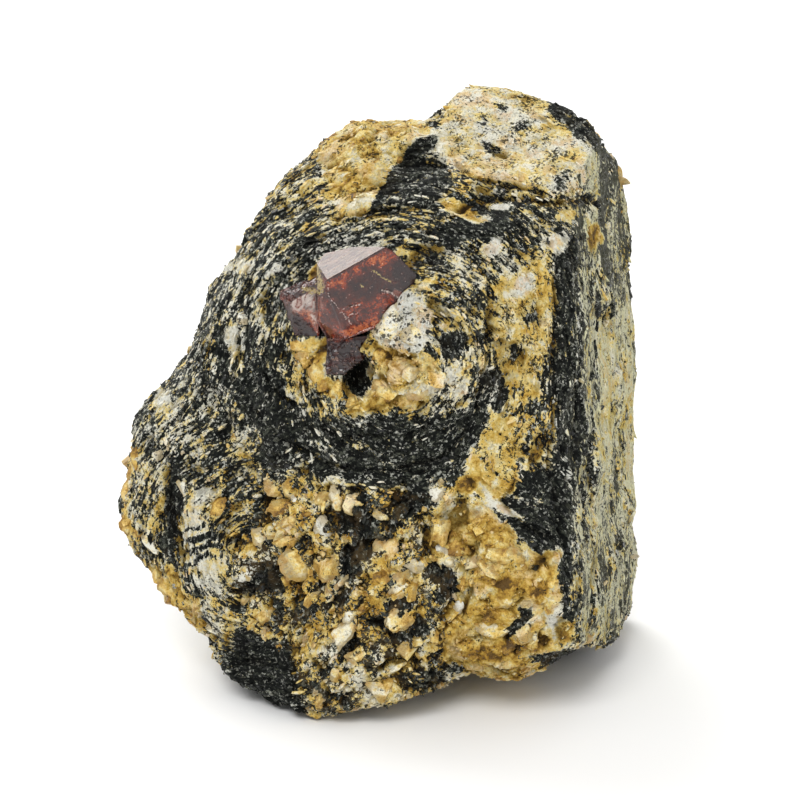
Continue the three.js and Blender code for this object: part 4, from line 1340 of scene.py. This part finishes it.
def rock_finish():
    """Gneiss: pale and dark minerals in streaks along the layers, and in blocks where it is coarse."""
    f = Finish("gneiss")
    place = millimetres(f)
    light, stain, coarse, side, specks = f.stored("light", "stain", "coarse", "side", "specks")
    layers, hollow, grain, grain_tint = f.stored("layers", "hollow", "grain", "grain_tint")
    broken = ragged(f, place, 1.9, 0.7)
    half = f.node("VectorMath", {"operation": "SCALE"}, {0: broken, "Scale": 0.42}).outputs[0]
    x, y, z = f.parts(broken)
    out = z * math.sin(LEAN) - y * math.cos(LEAN)
    up = z * math.cos(LEAN) + y * math.sin(LEAN)

    # Streaks and lenses change slowly along the layers and fast across them.
    streak = f.noise(half, 1, 5, w=layers * 2.4, roughness=0.66)
    upright = f.noise(f.vector(x * 1.6, up * 0.26, out * 2.5), 1, 5, roughness=0.68)
    streak = streak + (upright - streak) * side
    thin = f.vector(x / 0.7, up / 0.7, out / 0.45)
    lens = f.cells(thin, 1, w=layers / 0.22 + f.noise(place, 1.3, 3) * 1.4)
    lens_pick, lens_tint, lens_gloss = f.parts(lens.outputs["Color"])
    grit = gritty(f, place)
    grit_pick, _, grit_gloss = f.parts(grit.outputs["Color"])

    mottle = f.noise(place, 0.5, 5, roughness=0.65)
    big = (coarse + (mottle - 0.5) * 1.2).over(0.35, 0.65)
    streaky = (streak - 0.5) * 2.2 + (lens_pick - 0.5) * 0.26 + (mottle - 0.5) * 1.3
    blocky = (grain - 0.5) * 0.9 + (f.noise(broken, 0.9, 5, roughness=0.66) - 0.5) * 2.2
    pick = streaky * (1 - big) + blocky * big + (grit_pick - 0.5) * 0.3
    # dark seams between the coarse grains: partly dark minerals, partly painted shade in the gaps
    seam = f.noise(broken, 0.55, 4, roughness=0.6) - 0.5
    seams = (seam * seam).over(0.0012, 0.0003) * (coarse * 1.6 - 0.4).clamped()
    pale = (light + pick - seams * 0.8).over(0.44, 0.56)

    drift = f.noise(place, 0.3, 4, roughness=0.6) - 0.5
    soak = stain + drift * (light.over(0.9, 1.1) * (0.5 - specks) + 1.2)
    soak = soak + (grain_tint - 0.5) * big * 0.5 + hollow.over(0.1, 0.9) * 0.35
    least, blushing = stain * 0.3, light.over(0.7, 1.0)
    pale_colour, _ = pale_minerals(f, place, soak, least, specks, grit, 1.6, blushing)
    dark_pick = lens_tint * 0.35 + grit_pick * 0.35 + f.noise(place, 1.6, 4, roughness=0.7) * 0.6
    dark_pick = dark_pick + (streak - 0.5) * 0.9 + light * 0.25 - 0.24
    dark_colour = f.ramp(dark_pick, DARK_MINERAL)
    # flecks: painted glints, grey-white reflections on the black mica, which is also made glossier there
    flecks = grit_gloss * 0.5 + lens_gloss * 0.3 + f.noise(place, 5.5, 2, roughness=0.6) * 0.5
    flecks = flecks.over(0.88, 0.92)
    dark_colour = f.mix(flecks * (0.5 + light.over(0.0, 0.4) * 0.35), dark_colour, MICA_GLINT)
    rusty = f.noise(place, 0.5, 4, roughness=0.65).over(0.44, 0.60) * (coarse * 1.4 - 0.2).clamped()
    dark_colour = f.mix(rusty * 0.6, dark_colour, RUSTY_DARK)
    dark_colour = f.mix(side * 0.62, dark_colour, SIDE_DARK)
    colour = f.mix(pale, dark_colour, pale_colour)
    # painted shade: the hollows and cracks of the broken surface are darkened
    colour = f.mix(hollow.over(0.1, 0.7) * 0.75, colour, HOLLOW_PAINTED_SHADE, "MULTIPLY")
    colour = f.mix(side * pale * 0.8, colour, SIDE_SHADE, "MULTIPLY")

    relief = streak * (1 - big) * 2.0 + lens_pick * (1 - big) * 0.5 + grit_pick * 0.35
    relief = relief + f.noise(place, 2.6, 5, roughness=0.68) * 2.2
    bump = f.bump(relief, 0.9, 0.16)
    roughness = (0.66 - flecks * 0.35 - (lens_gloss - 0.5) * (1 - pale) * 0.5).clamped()
    return f.done({
        "Base Color": colour, "Roughness": roughness, "Normal": bump, "Specular IOR Level": 0.12,
    })


def feldspar_finish():
    """Loose-standing grains of feldspar and quartz, darker and rustier at the foot, partly by painted
    shade.
    """
    f = Finish("feldspar")
    place = millimetres(f)
    stain, tint, side, specks, height = f.stored("stain", "tint", "side", "specks", "height")
    # the foot of each grain, where it meets the rock: partly rust, partly painted shade
    foot = (height + (f.noise(place, 1.2, 4, roughness=0.65) - 0.5) * 0.7).over(0.85, 0.45)
    grit = gritty(f, place)
    soak = stain + (f.noise(place, 0.3, 4, roughness=0.6) - 0.5) * 0.9 + (tint - 0.5) * 0.45
    least, blushing = stain * 0.55, stain.over(0.08, 0.3)
    colour, fine_darkening = pale_minerals(f, place, soak, least, specks, grit, 1.9, blushing)
    colour = f.mix(side * 0.8, colour, SIDE_GRAIN_SHADE, "MULTIPLY")
    colour = f.mix(foot * 0.75, colour, FOOT_RUST_AND_PAINTED_SHADE, "MULTIPLY")
    bump = f.bump(f.noise(place, 2.6, 5, roughness=0.68), 0.8, 0.25)
    roughness = (0.40 + (fine_darkening - 0.5) * 0.8).clamped()
    return f.done({
        "Base Color": colour, "Roughness": roughness, "Normal": bump, "Specular IOR Level": 0.4,
    })


BIOTITE = (
    (0.0, (0.004, 0.005, 0.0045)),
    (0.62, (0.015, 0.017, 0.014)),
    (0.84, (0.050, 0.055, 0.042)),
    (0.95, (0.14, 0.145, 0.105)),
    (1.0, (0.45, 0.45, 0.40)),
)


def biotite_finish():
    """Black mica with a few pale flakes among it."""
    f = Finish("biotite")
    place = millimetres(f)
    (tint,) = f.stored("tint")
    wear = f.noise(place, 4.5, 4, roughness=0.7)
    colour = f.ramp(tint + (wear - 0.5) * 0.9, BIOTITE)
    bump = f.bump(wear, 0.6, 0.08)
    roughness = (0.30 + (wear - 0.5) * 0.9).clamped()
    return f.done({
        "Base Color": colour, "Roughness": roughness, "Normal": bump, "Specular IOR Level": 0.35,
    })


ZIRCON_BODY = (
    (0.0, (0.030, 0.012, 0.013)),
    (0.3, (0.10, 0.026, 0.020)),
    (0.55, (0.25, 0.040, 0.018)),
    (0.8, (0.50, 0.070, 0.018)),
    (1.0, (0.72, 0.20, 0.06)),
)
ZIRCON_GLINT = (0.62, 0.36, 0.24)
ZIRCON_SPLINTER_AND_GLINT = (0.96, 0.80, 0.72)
ZIRCON_LINE = (0.36, 0.11, 0.07)  # between the milky steps
ZIRCON_RIM = (0.52, 0.33, 0.24)
GOLDEN_FLECK = (0.66, 0.50, 0.20)
GROWN_FACE = (0.33, 0.19, 0.11)  # the striated face on top, and its dark dashes
GROWN_DASH = (0.10, 0.03, 0.02)
ZIRCON_IOR = 1.8
ZIRCON_DENSITY = 220.0  # how fast light is lost inside, for each metre


def zircon_finish():
    """Deep red zircon: see-through, clouded inside, and glowing where light gets through."""
    f = Finish("zircon")
    place = millimetres(f)
    glow, milk, dusk, steps, whole, nicks = f.stored("glow", "milk", "dusk", "steps", "whole", "nicks")
    gold, along_edge, below_edge, front = f.stored("gold", "along_edge", "below_edge", "front")
    mottle = f.noise(place, 2.6, 6, roughness=0.78)
    cloud = f.noise(place, 0.8, 4, roughness=0.6)
    glints = f.noise(place, 6.0, 3, roughness=0.7)
    grown = f.noise(f.vector(along_edge * 0.5, below_edge * 3.5, 0), 1, 5, roughness=0.7)
    # the dark patches lower the warmth: partly the crystal's own colour, partly painted shade
    warmth = 0.22 + (cloud - 0.5) * 1.5 + (mottle - 0.5) * 1.3 + (grown - 0.5) * 0.7 - dusk * 0.35
    warmth = warmth + glow * ((mottle * 0.7 + glints * 0.5).over(0.50, 0.74) * 0.7 + 0.22)
    body = f.ramp(warmth, ZIRCON_BODY)
    body = f.mix((glints + mottle * 0.4).over(0.84, 0.90) * 0.5, body, ZIRCON_GLINT)
    # splinters: milky fractures, whitened partly in their own colour and partly by painted highlights
    # where they catch the light
    splinters_and_glints = (nicks * 0.8 + (glints - 0.5) * 3.0 + (mottle - 0.5) * 2.0).over(0.55, 0.8)
    splinters_and_glints = splinters_and_glints + milk * (mottle + steps * 0.35 - 0.15).over(0.28, 0.50)
    body = f.mix(splinters_and_glints.clamped() * 0.9, body, ZIRCON_SPLINTER_AND_GLINT)
    lines = (steps + (mottle - 0.5) * 0.6).over(0.42, 0.20) * milk.over(0.15, 0.5)
    body = f.mix(lines * 0.75, body, ZIRCON_LINE)
    rims = (steps + (mottle - 0.5) * 0.8).over(0.78, 0.95) * (glints * 1.2 + cloud - 0.6).clamped()
    body = f.mix(rims * 0.7, body, ZIRCON_RIM)
    golden = (gold + (glints - 0.5) * 4.0 - 0.3).over(0.3, 0.6) * gold.over(0.05, 0.3)
    body = f.mix(golden, body, GOLDEN_FLECK)
    growth = f.noise(f.vector(along_edge * 0.3, below_edge * 6, 0), 1, 4, roughness=0.7)
    (top,) = f.stored("top")
    striated = (0.58 + (growth - 0.5) * 2.8 + (cloud - 0.5) * 0.8).clamped()
    body = f.mix(top * striated, body, GROWN_FACE)
    dashes = f.noise(f.vector(along_edge * 0.9, below_edge * 6, 3.7), 1, 3, roughness=0.6)
    body = f.mix(top * dashes.over(0.56, 0.62) * 0.9, body, GROWN_DASH)
    relief = growth * (1 - front * 0.6) * 0.8 + mottle * 0.6 + glints * (1 - whole) * 0.6
    bump = f.bump(relief, 0.45, 0.05)
    roughness = (0.14 + (growth - 0.5) * 0.4 + (mottle - 0.5) * 0.4 + splinters_and_glints * 0.2).clamped()
    inside = f.node("VolumeAbsorption", None, {"Color": (0.70, 0.10, 0.03), "Density": ZIRCON_DENSITY})
    return f.done({
        "Base Color": body, "Roughness": roughness, "Normal": bump, "IOR": ZIRCON_IOR,
        "Transmission Weight": 0.5, "Specular IOR Level": 0.11,
    }, inside.outputs[0])


# ---------------------------------------------------------------- scene

LAMP_DISTANCE = 0.5  # in metres
FLOOR_HALF = 3  # half the floor's width, in metres
PAPER = (0.93, 0.93, 0.925)


def add_camera():
    """The camera at the eye, looking square at the front."""
    camera = bpy.data.objects.new("camera", bpy.data.cameras.new("camera"))
    bpy.context.scene.collection.objects.link(camera)
    camera.data.sensor_width = SENSOR
    camera.data.lens = SENSOR * EYE_DISTANCE / VIEW_WIDTH
    camera.data.clip_start = CLIP_START
    aim = to_part((*EYE_AIM, 0))
    camera.location = (aim + OUT * EYE_DISTANCE) * MM
    camera.rotation_euler = (-OUT).to_track_quat("-Z", "Y").to_euler()
    bpy.context.scene.camera = camera


def add_sun(name, direction, energy, width):
    """A soft light from one direction, as wide as an angle in degrees."""
    data = bpy.data.lights.new(name, "SUN")
    data.energy = energy
    data.angle = math.radians(width)
    lamp = bpy.data.objects.new(name, data)
    bpy.context.scene.collection.objects.link(lamp)
    direction = Vector(direction).normalized()
    lamp.location = direction * LAMP_DISTANCE
    lamp.rotation_euler = direction.to_track_quat("Z", "Y").to_euler()


def add_surroundings():
    """A pale tent that is brighter behind and above, a paper floor and three suns."""
    world = bpy.data.worlds.new("studio")
    bpy.context.scene.world = world
    world.use_nodes = True
    tent = Nodes(world.node_tree)
    _, y, z = tent.parts(tent.node("TexCoord").outputs["Generated"])
    strength = 0.36 + y.over(-0.4, 0.7) * 0.3 + z.over(0.0, 0.9) * 0.3
    background = tent.node("Background", None, {"Color": (1.0, 0.995, 0.985), "Strength": strength})
    tent.node("OutputWorld", None, {"Surface": background.outputs[0]})
    floor = bmesh.new()
    bmesh.ops.create_grid(floor, x_segments=1, y_segments=1, size=FLOOR_HALF)
    mesh = bpy.data.meshes.new("floor")
    floor.to_mesh(mesh)
    piece = bpy.data.objects.new("floor", mesh)
    bpy.context.scene.collection.objects.link(piece)
    mesh.materials.append(Finish("paper").done({"Base Color": PAPER, "Roughness": 0.9}))
    add_sun("back", (-0.41, 0.63, 0.65), 1.7, 42)
    add_sun("key", (-0.2, -0.6, 0.8), 1.5, 30)
    add_sun("fill", (0.9, -0.45, 0.5), 0.5, 50)
    bpy.context.scene.view_settings.view_transform = "Standard"


add_camera()
rock = add_piece("rock", rock_mesh(), rock_finish(), "gneiss", "matrix")
surface = Rock(rock.data)
feldspar = feldspar_finish()
add_lumps(surface, feldspar)
add_grains(surface, feldspar, biotite_finish())
add_piece("zircon_crystal", crystal_mesh(), zircon_finish(), "zircon", "zircon")
add_surroundings()
